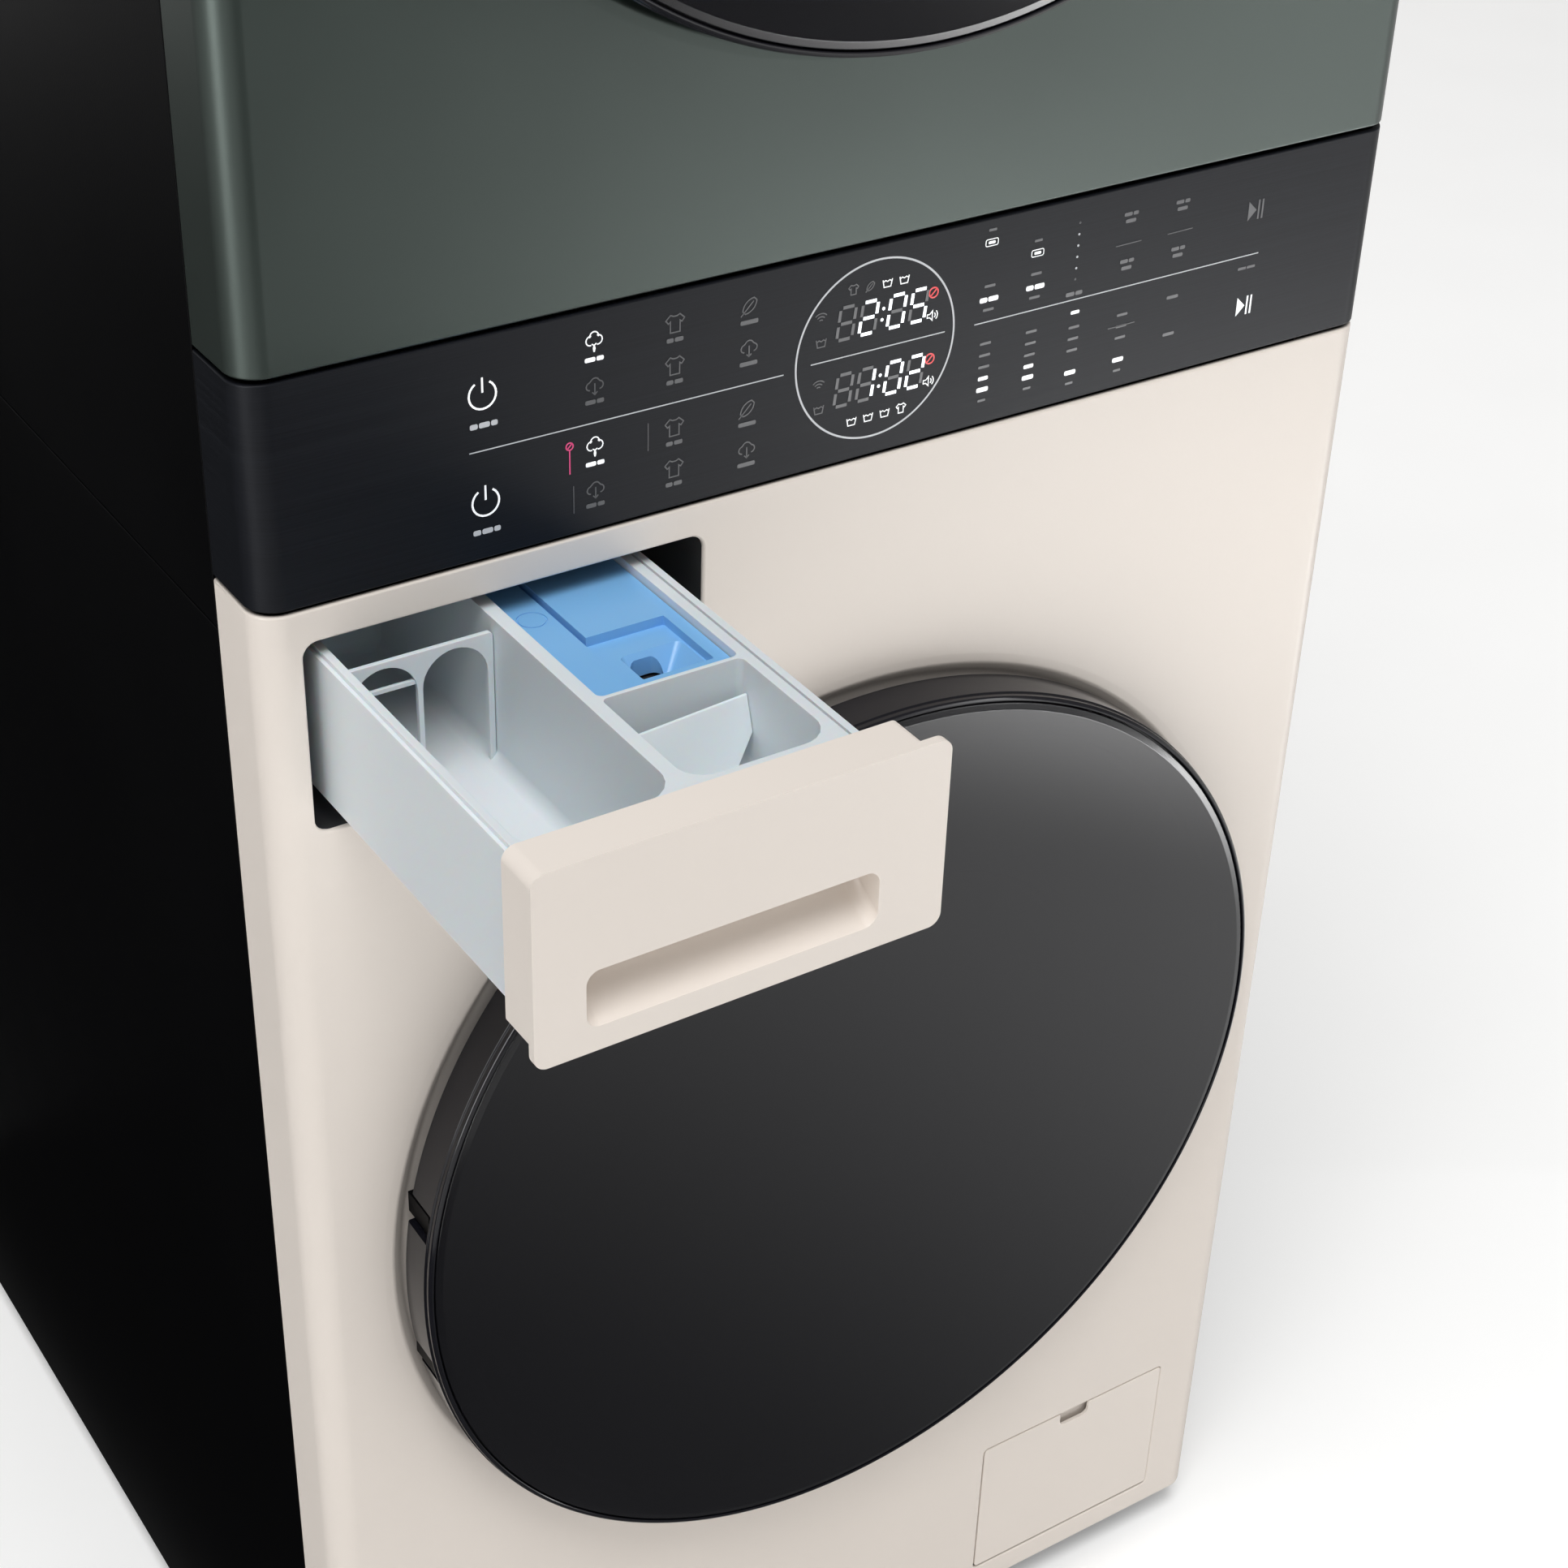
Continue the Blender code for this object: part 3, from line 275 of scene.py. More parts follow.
def drum_steel(name, axis_height, pitch, radius):
    """Brushed drum steel with rows of holes, each in a shallow dimple; the holes are not cut but painted near-black, a
    painted shade for the dark seen through them.
    """
    material = brushed(name, (0.62, 0.62, 0.63), 0.26, 1.0, (700, 9, 700), 0.06)
    nodes, links = material.node_tree.nodes, material.node_tree.links

    def calc(operation, first, second=None):
        node = nodes.new("ShaderNodeMath")
        node.operation = operation
        for socket, value in zip(node.inputs, (first, second)):
            if isinstance(value, (int, float)):
                socket.default_value = value
            elif value is not None:
                links.new(value, socket)
        return node.outputs[0]

    def length(first, second):
        return calc("SQRT", calc("ADD", calc("POWER", first, 2), calc("POWER", second, 2)))

    place = nodes.new("ShaderNodeTexCoord")
    split = nodes.new("ShaderNodeSeparateXYZ")
    links.new(place.outputs["Object"], split.inputs[0])
    height = calc("SUBTRACT", split.outputs["Z"], axis_height)
    angle = calc("ARCTAN2", split.outputs["X"], height)
    around = math.floor(math.tau * radius / pitch)
    column = calc("MULTIPLY", angle, around / math.tau)
    row = calc("DIVIDE", split.outputs["Y"], pitch * 0.866)
    shift = calc("MULTIPLY", calc("MODULO", calc("FLOOR", row), 2), 0.5)
    across = calc("SUBTRACT", calc("FRACT", calc("ADD", column, shift)), 0.5)
    along = calc("MULTIPLY", calc("SUBTRACT", calc("FRACT", row), 0.5), 0.866)
    reach = length(across, along)
    from_axis = length(split.outputs["X"], height)
    on_wall = calc("GREATER_THAN", from_axis, radius - 0.006)
    hole_shade = calc("MULTIPLY", calc("LESS_THAN", reach, 0.13), on_wall)
    dimple = calc("MULTIPLY", calc("SMOOTH_MIN", reach, 0.34), on_wall)

    bsdf = nodes["Principled BSDF"]
    under = bsdf.inputs["Base Color"].links[0].from_socket
    # painted shade: near-black base colour where each hole would be, for the dark seen through it
    mix = nodes.new("ShaderNodeMix")
    mix.data_type = "RGBA"
    mix.inputs["B"].default_value = (0.004, 0.004, 0.004, 1)
    links.new(hole_shade, mix.inputs["Factor"])
    links.new(under, mix.inputs["A"])
    links.new(mix.outputs["Result"], bsdf.inputs["Base Color"])
    bump = bsdf.inputs["Normal"].links[0].from_node
    second = nodes.new("ShaderNodeBump")
    second.inputs["Strength"].default_value = 0.5
    second.inputs["Distance"].default_value = 0.004
    links.new(dimple, second.inputs["Height"])
    links.new(bump.outputs["Normal"], second.inputs["Normal"])
    links.new(second.outputs["Normal"], bsdf.inputs["Normal"])
    return material


def glow(name, colour, strength):
    """A printed mark lit from behind."""
    made = finish(name, colour, 0.35, grain=(900, 0.01))
    bsdf = made.node_tree.nodes["Principled BSDF"]
    bsdf.inputs["Emission Color"].default_value = (*colour, 1)
    bsdf.inputs["Emission Strength"].default_value = strength
    return made


def make_materials():
    """The record's slots, and the marks on the control panel."""
    black = {"Specular_IOR_Level": 0.05}
    milky = {"Subsurface_Weight": 0.35, "Subsurface_Scale": 0.004}
    blue = {"Subsurface_Weight": 0.12, "Subsurface_Scale": 0.003}
    made = [
        finish("cream_enamel", (0.8, 0.733, 0.672), 0.36, grain=(420, 0.035), shade=0.015, Specular_IOR_Level=0.14),
        finish("green_steel", (0.035, 0.048, 0.042), 0.36, 0.5, grain=(2600, 0.03), shade=0.05),
        finish("black_enamel", (0.002, 0.002, 0.0025), 0.42, grain=(900, 0.1), **black),
        brushed("panel_black", (0.0085, 0.0095, 0.0125), 0.36, 0.0, (6, 6, 1500), 0.05, Specular_IOR_Level=0.09),
        finish("gloss_black", (0.006, 0.006, 0.009), 0.12, grain=(60, 0.004), Specular_IOR_Level=0.3),
        finish("tinted_glass", (0.006, 0.006, 0.008), 0.14, grain=(2, 0.0), Alpha=0.9, Specular_IOR_Level=0.35),
        finish("clear_glass", (0.55, 0.56, 0.62), 0.05, grain=(30, 0.01), shade=0.02, Alpha=0.22, IOR=1.5),
        finish("pale_plastic", (0.705, 0.755, 0.785), 0.34, grain=(800, 0.03), shade=0.01, **milky),
        finish("blue_plastic", (0.205, 0.465, 0.79), 0.33, grain=(900, 0.05), shade=0.02, **blue),
        finish("dark_plastic", (0.02, 0.02, 0.022), 0.48, grain=(1100, 0.15)),
        finish("grey_plastic", (0.36, 0.37, 0.385), 0.46, grain=(1100, 0.12)),
        finish("grey_rubber", (0.2, 0.205, 0.215), 0.62, grain=(500, 0.1), shade=0.08),
        finish("black_rubber", (0.016, 0.016, 0.016), 0.72, grain=(600, 0.2), shade=0.15),
        finish("bearing_steel", (0.58, 0.58, 0.6), 0.2, 1.0, grain=(1500, 0.04)),
        finish("cast_aluminium", (0.53, 0.54, 0.55), 0.46, 1.0, grain=(380, 0.28), shade=0.1),
        brushed("fin_aluminium", (0.66, 0.67, 0.69), 0.38, 1.0, (900, 6, 6), 0.55),
        finish("concrete", (0.34, 0.33, 0.31), 0.9, grain=(90, 0.85), shade=0.22),
        finish("circuit_green", (0.025, 0.13, 0.065), 0.42, grain=(140, 0.35), shade=0.25),
        finish("copper", (0.7, 0.34, 0.19), 0.34, 1.0, grain=(700, 0.12), shade=0.12),
        drum_steel("stainless", WASHER_AXIS, 0.022, DRUM_RADIUS),
        brushed("dryer_steel", (0.62, 0.62, 0.63), 0.28, 1.0, (700, 9, 700), 0.06),
        glow("mark_bright", (0.86, 0.87, 0.88), 0.42),
        glow("mark_soft", (0.42, 0.43, 0.45), 0.3),
        glow("mark_dim", (0.05, 0.052, 0.057), 0.015),
        glow("mark_digit", (0.92, 0.95, 1.0), 1.0),
        glow("mark_red", (0.65, 0.025, 0.03), 0.35),
        glow("mark_pink", (0.6, 0.02, 0.16), 0.25),
    ]
    galvanised = finish("galvanised", (0.5, 0.51, 0.52), 0.4, 0.9, grain=(300, 0.05))
    spangle = texture(galvanised, "Voronoi", 110.0)
    tint(galvanised, spangle, (0.475, 0.485, 0.495), (0.53, 0.54, 0.55))
    return {material.name: material for material in [*made, galvanised]}


for imported in list(bpy.data.materials):
    bpy.data.materials.remove(imported)
MATERIALS = make_materials()


# ---------------------------------------------------------------- making shapes


def piece(name, mesh, slot, body, *stands_for):
    """A finished mesh as an object of the model, riding on its body."""
    obj = bpy.data.objects.new(name, mesh)
    bpy.context.scene.collection.objects.link(obj)
    obj.location = (0, FRONT, 0)
    mesh.materials.clear()
    mesh.materials.append(MATERIALS[slot])
    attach(obj, body)
    if stands_for:
        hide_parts(*stands_for)
    return obj


def mesh_from(bm, name):
    bmesh.ops.remove_doubles(bm, verts=bm.verts, dist=1e-6)
    bmesh.ops.recalc_face_normals(bm, faces=bm.faces)
    mesh = bpy.data.meshes.new(name)
    bm.to_mesh(mesh)
    bm.free()
    return mesh


def rounded(corners, closed=True, steps=6):
    """A path through (a, b, radius) corners, each turned on an arc of its radius."""
    path = []
    count = len(corners)
    for i, (a, b, *radius) in enumerate(corners):
        corner = Vector((a, b))
        if not radius or radius[0] == 0 or (not closed and i in (0, count - 1)):
            path.append((a, b))
            continue
        back = Vector(corners[i - 1][:2]) - corner
        ahead = Vector(corners[(i + 1) % count][:2]) - corner
        half = back.angle(ahead) / 2
        if half > math.pi / 2 - 0.01:
            path.append((a, b))
            continue
        run = min(radius[0] / math.tan(half), 0.499 * back.length, 0.499 * ahead.length)
        turn_radius = run * math.tan(half)
        centre = corner + (back.normalized() + ahead.normalized()).normalized() * (turn_radius / math.sin(half))
        first = corner + back.normalized() * run - centre
        last = corner + ahead.normalized() * run - centre
        for step in range(steps + 1):
            share = step / steps
            arm = first.lerp(last, share)
            path.append(tuple(centre + arm.normalized() * turn_radius))
    return path


def box_path(x, z, radius, steps=6):
    """A rectangle's outline; radius is one number, or four from the low left corner round by low right."""
    radii = radius if isinstance(radius, tuple) else (radius,) * 4
    corners = [(x[0], z[0]), (x[1], z[0]), (x[1], z[1]), (x[0], z[1])]
    return rounded([(*corner, r) for corner, r in zip(corners, radii)], steps=steps)


def turned(name, profile, height=0.0, across=0.0, steps=192, along="y"):
    """A mesh turned about a front-to-back axis, or an upright one, from a closed (radius, along) profile."""
    bm = bmesh.new()
    rings = []
    for radius, depth in profile:
        ring = []
        for step in range(steps if radius > 1e-7 else 1):
            angle = math.tau * step / steps
            side, rise = radius * math.cos(angle), radius * math.sin(angle)
            if along == "y":
                ring.append(bm.verts.new((across + side, depth, height + rise)))
            else:
                ring.append(bm.verts.new((across + side, height + rise, depth)))
        rings.append(ring)
    pairs = list(zip(rings, rings[1:]))
    if len(rings[0]) > 1 and len(rings[-1]) > 1:
        pairs.append((rings[-1], rings[0]))
    for first, second in pairs:
        if len(first) == len(second) == 1:
            continue
        for step in range(steps):
            nxt = (step + 1) % steps
            corners = [ring[i % len(ring)] for ring, i in ((first, step), (first, nxt), (second, nxt), (second, step))]
            bm.faces.new(list(dict.fromkeys(corners)))
    return mesh_from(bm, name)


def loft(name, rings):
    """A closed mesh through rings of points, its two ends filled."""
    bm = bmesh.new()
    made = [[bm.verts.new(point) for point in ring] for ring in rings]
    for first, second in zip(made, made[1:]):
        for i in range(len(first)):
            j = (i + 1) % len(first)
            bm.faces.new((first[i], first[j], second[j], second[i]))
    bm.faces.new(made[0])
    bm.faces.new(made[-1])
    return mesh_from(bm, name)


def slab(name, outline, low, high, along="y"):
    """A straight prism of an outline; see place() for the axes."""
    return loft(name, [[place(point, at, along) for point in outline] for at in (low, high)])


def place(point, at, along):
    """An outline's point at a distance along an axis: (x, z) along y, (x, y) along z and (y, z) along x."""
    a, b = point
    return {"y": (a, at, b), "z": (a, b, at), "x": (at, a, b)}[along]


def plate(name, outlines, low, high, edge, along="y"):
    """A flat plate with holes, every edge rounded over by edge."""
    curve = bpy.data.curves.new(name, "CURVE")
    curve.dimensions = "2D"
    curve.fill_mode = "BOTH"
    curve.extrude = (high - low) / 2 - edge
    curve.bevel_depth = edge
    curve.bevel_resolution = 2
    curve.offset = -edge
    for outline in outlines:
        spline = curve.splines.new("POLY")
        spline.points.add(len(outline) - 1)
        spline.use_cyclic_u = True
        for target, (a, b) in zip(spline.points, outline):
            target.co = (a, b, 0, 1)
    holder = bpy.data.objects.new(name, curve)
    bpy.context.scene.collection.objects.link(holder)
    graph = bpy.context.evaluated_depsgraph_get()
    flat = bpy.data.meshes.new_from_object(holder.evaluated_get(graph), depsgraph=graph)
    bpy.data.objects.remove(holder)
    bm = bmesh.new()
    bm.from_mesh(flat)
    for vert in bm.verts:
        vert.co = place(vert.co.xy, vert.co.z + (low + high) / 2, along)
    return mesh_from(bm, name)


def solid(mesh, *modifiers):
    """The mesh after modifiers, each (type, settings)."""
    holder = bpy.data.objects.new("holder", mesh)
    bpy.context.scene.collection.objects.link(holder)
    for kind, settings in modifiers:
        modifier = holder.modifiers.new(kind, kind)
        for key, value in settings.items():
            setattr(modifier, key, value)
    graph = bpy.context.evaluated_depsgraph_get()
    made = bpy.data.meshes.new_from_object(holder.evaluated_get(graph), depsgraph=graph)
    bpy.data.objects.remove(holder)
    return made


def boolean(mesh, operation, *others):
    """The mesh cut by, or joined to, the other meshes."""
    for other in others:
        helper = bpy.data.objects.new("helper", other)
        bpy.context.scene.collection.objects.link(helper)
        mesh = solid(mesh, ("BOOLEAN", {"operation": operation, "object": helper}))
        bpy.data.objects.remove(helper)
    return mesh


def cut(mesh, *others):
    return boolean(mesh, "DIFFERENCE", *others)


def fuse(mesh, *others):
    return boolean(mesh, "UNION", *others)


def soften(mesh, width, segments=3, angle=32):
    """Sharp edges rounded over."""
    flat = ("DECIMATE", {"decimate_type": "DISSOLVE", "angle_limit": math.radians(0.3)})
    bevel = {"width": width, "segments": segments, "limit_method": "ANGLE", "angle_limit": math.radians(angle)}
    return solid(mesh, flat, ("BEVEL", bevel))


def merged(name, meshes):
    """Several meshes as one, not joined where they touch."""
    bm = bmesh.new()
    for mesh in meshes:
        bm.from_mesh(mesh)
    mesh = bpy.data.meshes.new(name)
    bm.to_mesh(mesh)
    bm.free()
    return mesh


def smooth(obj, angle=34):
    """Smooth shading that keeps flat faces flat and corners crisp."""
    obj.data.shade_smooth()
    obj.data.set_sharp_from_angle(angle=math.radians(angle))
    weigh = obj.modifiers.new("flat_faces", "WEIGHTED_NORMAL")
    weigh.keep_sharp = True
    weigh.weight = 100
    return obj


# ---------------------------------------------------------------- cabinet


def fold(s, inset):
    """Where a point of the flat blank lands once it is bent round the front corners."""
    flat, bend = HALF - CORNER, CORNER * math.pi / 2
    side = math.copysign(1, s)
    past = abs(s) - flat
    if past <= 0:
        return s, inset
    if past <= bend:
        angle = past / CORNER
        reach = CORNER - inset
        return side * (flat + reach * math.sin(angle)), CORNER - reach * math.cos(angle)
    return side * (HALF - inset), CORNER + past - bend


def wrapped(name, low, high, holes=(), thick=0.0032, edge=0.0012):
    """A front panel bent round both front corners, with its edges rounded over."""
    reach = HALF - CORNER + CORNER * math.pi / 2 + RETURN - CORNER
    mesh = plate(name, [box_path((-reach, reach), (low, high), 0), *holes], 0, thick, edge)
    bm = bmesh.new()
    bm.from_mesh(mesh)
    flat, bend, steps = HALF - CORNER, CORNER * math.pi / 2, 14
    for step in range(steps + 1):
        for side in (-1, 1):
            at = (side * (flat + bend * step / steps), 0, 0)
            bmesh.ops.bisect_plane(bm, geom=[*bm.verts, *bm.edges, *bm.faces], plane_co=at, plane_no=(1, 0, 0))
    for vert in bm.verts:
        vert.co.x, vert.co.y = fold(vert.co.x, vert.co.y)
    return mesh_from(bm, name)


DISH_RADIUS = DOOR_RADIUS + 0.0085


def door_opening(name, panel, height):
    """The panel with its door opening: the sheet sinks behind the door's edge and turns in at the hole."""
    cutter = turned("cutter", [(0, -0.02), (DISH_RADIUS, -0.02), (DISH_RADIUS, 0.02), (0, 0.02)], height)
    rim = rounded(
        [(DISH_RADIUS, 0), (DOOR_RADIUS + 0.003, 0.0002, 0.004), (DOOR_RADIUS - 0.004, 0.0062, 0.005),
         (HOLE_RADIUS, 0.0062, 0.003), (HOLE_RADIUS, 0.014)],
        closed=False,
    )
    behind = HOLE_RADIUS + 0.0012
    back = [(behind, 0.014), (behind, 0.0078), (DOOR_RADIUS, 0.0078), (DISH_RADIUS, 0.003)]
    dish = cut(turned(name, rim + back, height), latch_cutter(height))
    return merged(name, [cut(panel, cutter), dish])


def latch_cutter(height):
    return slab("cutter", box_path((0.192, 0.213), (height - 0.012, height + 0.012), 0.002), -0.02, 0.03)


def washer_front():
    low, high = span("washer_front_panel", 2)
    opening = span("dispenser_housing", 0)
    drawer_hole = box_path((opening[0] + 0.002, opening[1] - 0.002), (0.7395, 0.8335), 0.007)
    x, z = span("service_flap", 0), span("service_flap", 2)
    gap = 0.0006
    flap_hole = box_path((x[0] - gap, x[1] + gap), (z[0] - 0.002, z[1] + gap), 0.003)
    panel = wrapped("washer_front_panel", low, high, [drawer_hole, flap_hole])
    panel = door_opening("washer_front_skin", panel, WASHER_AXIS)
    smooth(piece("washer_front_skin", panel, "cream_enamel", "cabinet", "washer_front_panel"))
    backing = slab("flap_backing", box_path((0.1795, 0.2075), (0.127, 0.15), 0.002, 3), 0.0046, 0.0056)
    smooth(piece("flap_backing", soften(backing, 0.0003, 2), "cream_enamel", "cabinet"))


def dryer_front():
    low, high = span("dryer_front_panel", 2)
    panel = door_opening("dryer_front_skin", wrapped("dryer_front_panel", low, high), DRYER_AXIS)
    smooth(piece("dryer_front_skin", panel, "green_steel", "cabinet", "dryer_front_panel"))


def control_front():
    panel = wrapped("control_panel_skin", PANEL_LOW, PANEL_HIGH, thick=0.003, edge=0.0008)
    smooth(piece("control_panel_skin", panel, "panel_black", "cabinet", "control_panel"))


# ---------------------------------------------------------------- control panel marks
# Places are (x, height above the panel's lower edge).

MARK_DEPTH = 0.00012
DISPLAY = (0.0, 0.0516)
DISPLAY_RADIUS = 0.0424
COLUMNS = (-0.143, -0.104, -0.067)
ROWS = (0.0848, 0.0655, 0.0368, 0.0172)


class Marks:
    """Flat strokes in one finish, collected into one piece."""

    def __init__(self, name, slot):
        self.name, self.slot, self.bm = name, slot, bmesh.new()

    def area(self, points):
        x0, z0 = 0, PANEL_LOW
        verts = [self.bm.verts.new((x0 + x, -MARK_DEPTH, z0 + z)) for x, z in points]
        self.bm.faces.new(verts)

    def stroke(self, points, width=0.0005, closed=False):
        """A ribbon of constant width along a path, mitred at its corners."""
        points = [Vector(p) for p in points]
        count = len(points)
        sides = []
        for i, point in enumerate(points):
            before = points[i - 1] if i or closed else None
            after = points[(i + 1) % count] if i < count - 1 or closed else None
            ways = [(point - before).normalized()] if before is not None else []
            ways += [(after - point).normalized()] if after is not None else []
            way = sum(ways, Vector((0, 0))).normalized()
            across = Vector((-way.y, way.x))
            mitre = width / 2 / max(0.35, across.dot(Vector((-ways[0].y, ways[0].x))))
            sides.append((point + across * mitre, point - across * mitre))
        pairs = list(zip(sides, sides[1:])) + ([(sides[-1], sides[0])] if closed else [])
        for (a, b), (c, d) in pairs:
            self.area((a, c, d, b))

    def icon(self, at, size, strokes, width=0.0005):
        """Strokes drawn in a unit box, placed at a point at a size."""
        for points, closed in strokes:
            self.stroke([(at[0] + x * size, at[1] + z * size) for x, z in points], width, closed)

    def bar(self, at, widths, height=0.0018):
        """A blank stand-in for a word: a row of short dashes, centred."""
        gap = 0.0006
        x = at[0] - (sum(widths) + gap * (len(widths) - 1)) / 2
        for width in widths:
            self.area(box_path((x, x + width), (at[1] - height / 2, at[1] + height / 2), height * 0.3, 2))
            x += width + gap

    def finish(self):
        mesh = bpy.data.meshes.new(self.name)
        bmesh.ops.recalc_face_normals(self.bm, faces=self.bm.faces)
        self.bm.to_mesh(mesh)
        self.bm.free()
        obj = piece(self.name, mesh, self.slot, "cabinet")
        shell = obj.modifiers.new("thickness", "SOLIDIFY")
        shell.thickness = 0.00008
        shell.offset = 0


def arc(centre, radius, first, last, steps=10):
    """Points on an arc, from one angle in degrees to another."""
    made = []
    for step in range(steps + 1):
        angle = math.radians(first + (last - first) * step / steps)
        made.append((centre[0] + radius * math.cos(angle), centre[1] + radius * math.sin(angle)))
    return made


def power_icon():
    return [(arc((0, 0), 0.5, 122, 418, 20), False), ([(0, 0.62), (0, 0.08)], False)]


def cotton_icon():
    centres = ((0, (0.2, 0.12)), (90, (0, 0.32)), (180, (-0.2, 0.12)))
    lobes = [arc(centre, 0.24, angle - 100, angle + 100, 8) for angle, centre in centres]
    leaves = [arc((-0.22, -0.3), 0.26, -40, 70, 6), arc((0.22, -0.3), 0.26, 220, 110, 6)]
    return [(path, False) for path in [*lobes, *leaves]]


def shirt_icon():
    half = [(0.1, 0.38), (0.26, 0.46), (0.52, 0.22), (0.38, 0.04), (0.27, 0.12), (0.27, -0.45)]
    return [([*half, *[(-x, z) for x, z in reversed(half)]], True)]


def leaf_icon():
    blade = arc((0.3, -0.3), 0.7, 95, 175, 8) + arc((-0.3, 0.3), 0.7, 275, 355, 8)
    return [(blade, True), ([(-0.5, -0.5), (0.22, 0.22)], False)]


def cloud_icon():
    puffs = (((-0.25, -0.02), 0.2, 270, 100), ((0.02, 0.13), 0.25, 150, 30), ((0.28, -0.02), 0.2, 80, -90))
    outline = [point for puff in puffs for point in arc(*puff, 7)]
    arrow = [([(0.02, 0.1), (0.02, -0.48)], False), ([(-0.12, -0.34), (0.02, -0.48), (0.16, -0.34)], False)]
    return [(outline, False), *arrow]


def basin_icon():
    tub = [(-0.5, 0.3), (-0.36, -0.4), (0.36, -0.4), (0.5, 0.3)]
    wave = [(-0.44, 0.1), (-0.22, 0.22), (0, 0.1), (0.22, 0.22), (0.44, 0.1)]
    return [(tub, False), (wave, False)]


def radio_icon():
    return [(arc((0, -0.3), radius, 45, 135, 6), False) for radius in (0.2, 0.45, 0.7)]


def sound_icon():
    horn = [(-0.5, 0.14), (-0.26, 0.14), (0.0, 0.4), (0.0, -0.4), (-0.26, -0.14), (-0.5, -0.14)]
    return [(horn, True), (arc((0, 0), 0.28, -45, 45, 5), False), (arc((0, 0), 0.5, -45, 45, 5), False)]


def barred_icon():
    return [(arc((0, 0), 0.5, 0, 345, 16), True), ([(-0.35, -0.35), (0.35, 0.35)], False)]


SEGMENTS = {"0": "abcdef", "1": "bc", "2": "abged", "5": "afgcd", "8": "abcdefg"}


def digit(marks, ghost, at, value, height=0.015):
    """One seven-segment digit, leaning right, its unlit segments faint."""
    half, wide, thick, slant = height / 2, height * 0.27, height * 0.105, 0.12
    inset = thick * 0.72
    ends = {
        "a": ((-wide + inset, half), (wide - inset, half)), "g": ((-wide + inset, 0), (wide - inset, 0)),
        "d": ((-wide + inset, -half), (wide - inset, -half)),
        "f": ((-wide, half - inset), (-wide, inset)), "b": ((wide, half - inset), (wide, inset)),
        "e": ((-wide, -inset), (-wide, -half + inset)), "c": ((wide, -inset), (wide, -half + inset)),
    }
    for key, path in ends.items():
        target = marks if key in SEGMENTS.get(value, "") else ghost
        target.stroke([(at[0] + x + slant * z, at[1] + z) for x, z in path], thick)


def readout(digit_marks, ghost, height, text):
    """A time such as 2:05, with one more unlit digit in front."""
    pitch = 0.0118
    for i, value in enumerate(text):
        digit(digit_marks, ghost, (-0.0165 + i * pitch + (0.0032 if i > 1 else 0), height), value)
    for rise in (-0.0026, 0.0026):
        centre = (-0.0165 + 1.5 * pitch + 0.0016 + rise * 0.12, height + rise)
        digit_marks.area(arc(centre, 0.0008, 0, 330, 11))


def display(bright, soft, dim, digits, red):
    """The round display: its ring, two times and the small signs about them."""
    x, z = DISPLAY
    soft.stroke(arc(DISPLAY, DISPLAY_RADIUS, 0, 357, 119), 0.0009, True)
    soft.stroke([(x - 0.0345, z), (x + 0.0375, z)], 0.0005)
    readout(digits, dim, z + 0.016, "_205")
    readout(digits, dim, z - 0.016, "_102")
    signs = (shirt_icon(), leaf_icon(), basin_icon(), basin_icon())
    for i, strokes in enumerate(signs):
        place_x = x - 0.0095 + i * 0.009
        (dim if i < 2 else bright).icon((place_x - 0.004, z + 0.031 - i * 0.0002), 0.005, strokes, 0.0005)
        bright.icon((place_x - 0.002, z - 0.0325), 0.005, (shirt_icon() if i == 3 else basin_icon()), 0.0005)
    for rise in (0.016, -0.016):
        dim.icon((x - 0.03, z + rise + 0.005), 0.006, radio_icon(), 0.0005)
        dim.icon((x - 0.0295, z + rise - 0.0065), 0.0052, basin_icon(), 0.0005)
        red.icon((x + 0.03, z + rise + 0.0045), 0.0048, barred_icon(), 0.0007)
        bright.icon((x + 0.03, z + rise - 0.0065), 0.0056, sound_icon(), 0.0005)


def programmes(bright, soft, dim, pink):
    """Power signs and the two rows of programmes for each machine, left of the display."""
    for height in (0.0752, 0.0264):
        bright.icon((-0.1952, height), 0.0125, power_icon(), 0.0009)
        soft.bar((-0.195, height - 0.0135), (0.0036, 0.005, 0.003), 0.0024)
    icons = ((cotton_icon, shirt_icon, leaf_icon), (cloud_icon, shirt_icon, cloud_icon))
    words = ((0.005, 0.0034), (0.0034, 0.0042), (0.009,))
    for r, row in enumerate(ROWS):
        for c, column in enumerate(COLUMNS):
            lit = c == 0 and r % 2 == 0
            (bright if lit else dim).icon((column, row + 0.0018), 0.0088, icons[r % 2][c](), 0.00055)
            (bright if lit else dim).bar((column, row - 0.0056), words[c], 0.002)
    soft.stroke([(-0.202, 0.0502), (-0.0487, 0.0502)], 0.0005)
    pink.stroke([(-0.1552, 0.04), (-0.1552, 0.029)], 0.0006)
    pink.icon((-0.1552, 0.042), 0.0034, barred_icon(), 0.0006)
    for x, z in ((-0.1535, 0.0165), (-0.117, 0.037)):
        dim.stroke([(x, z - 0.0065), (x, z + 0.0065)], 0.0004)


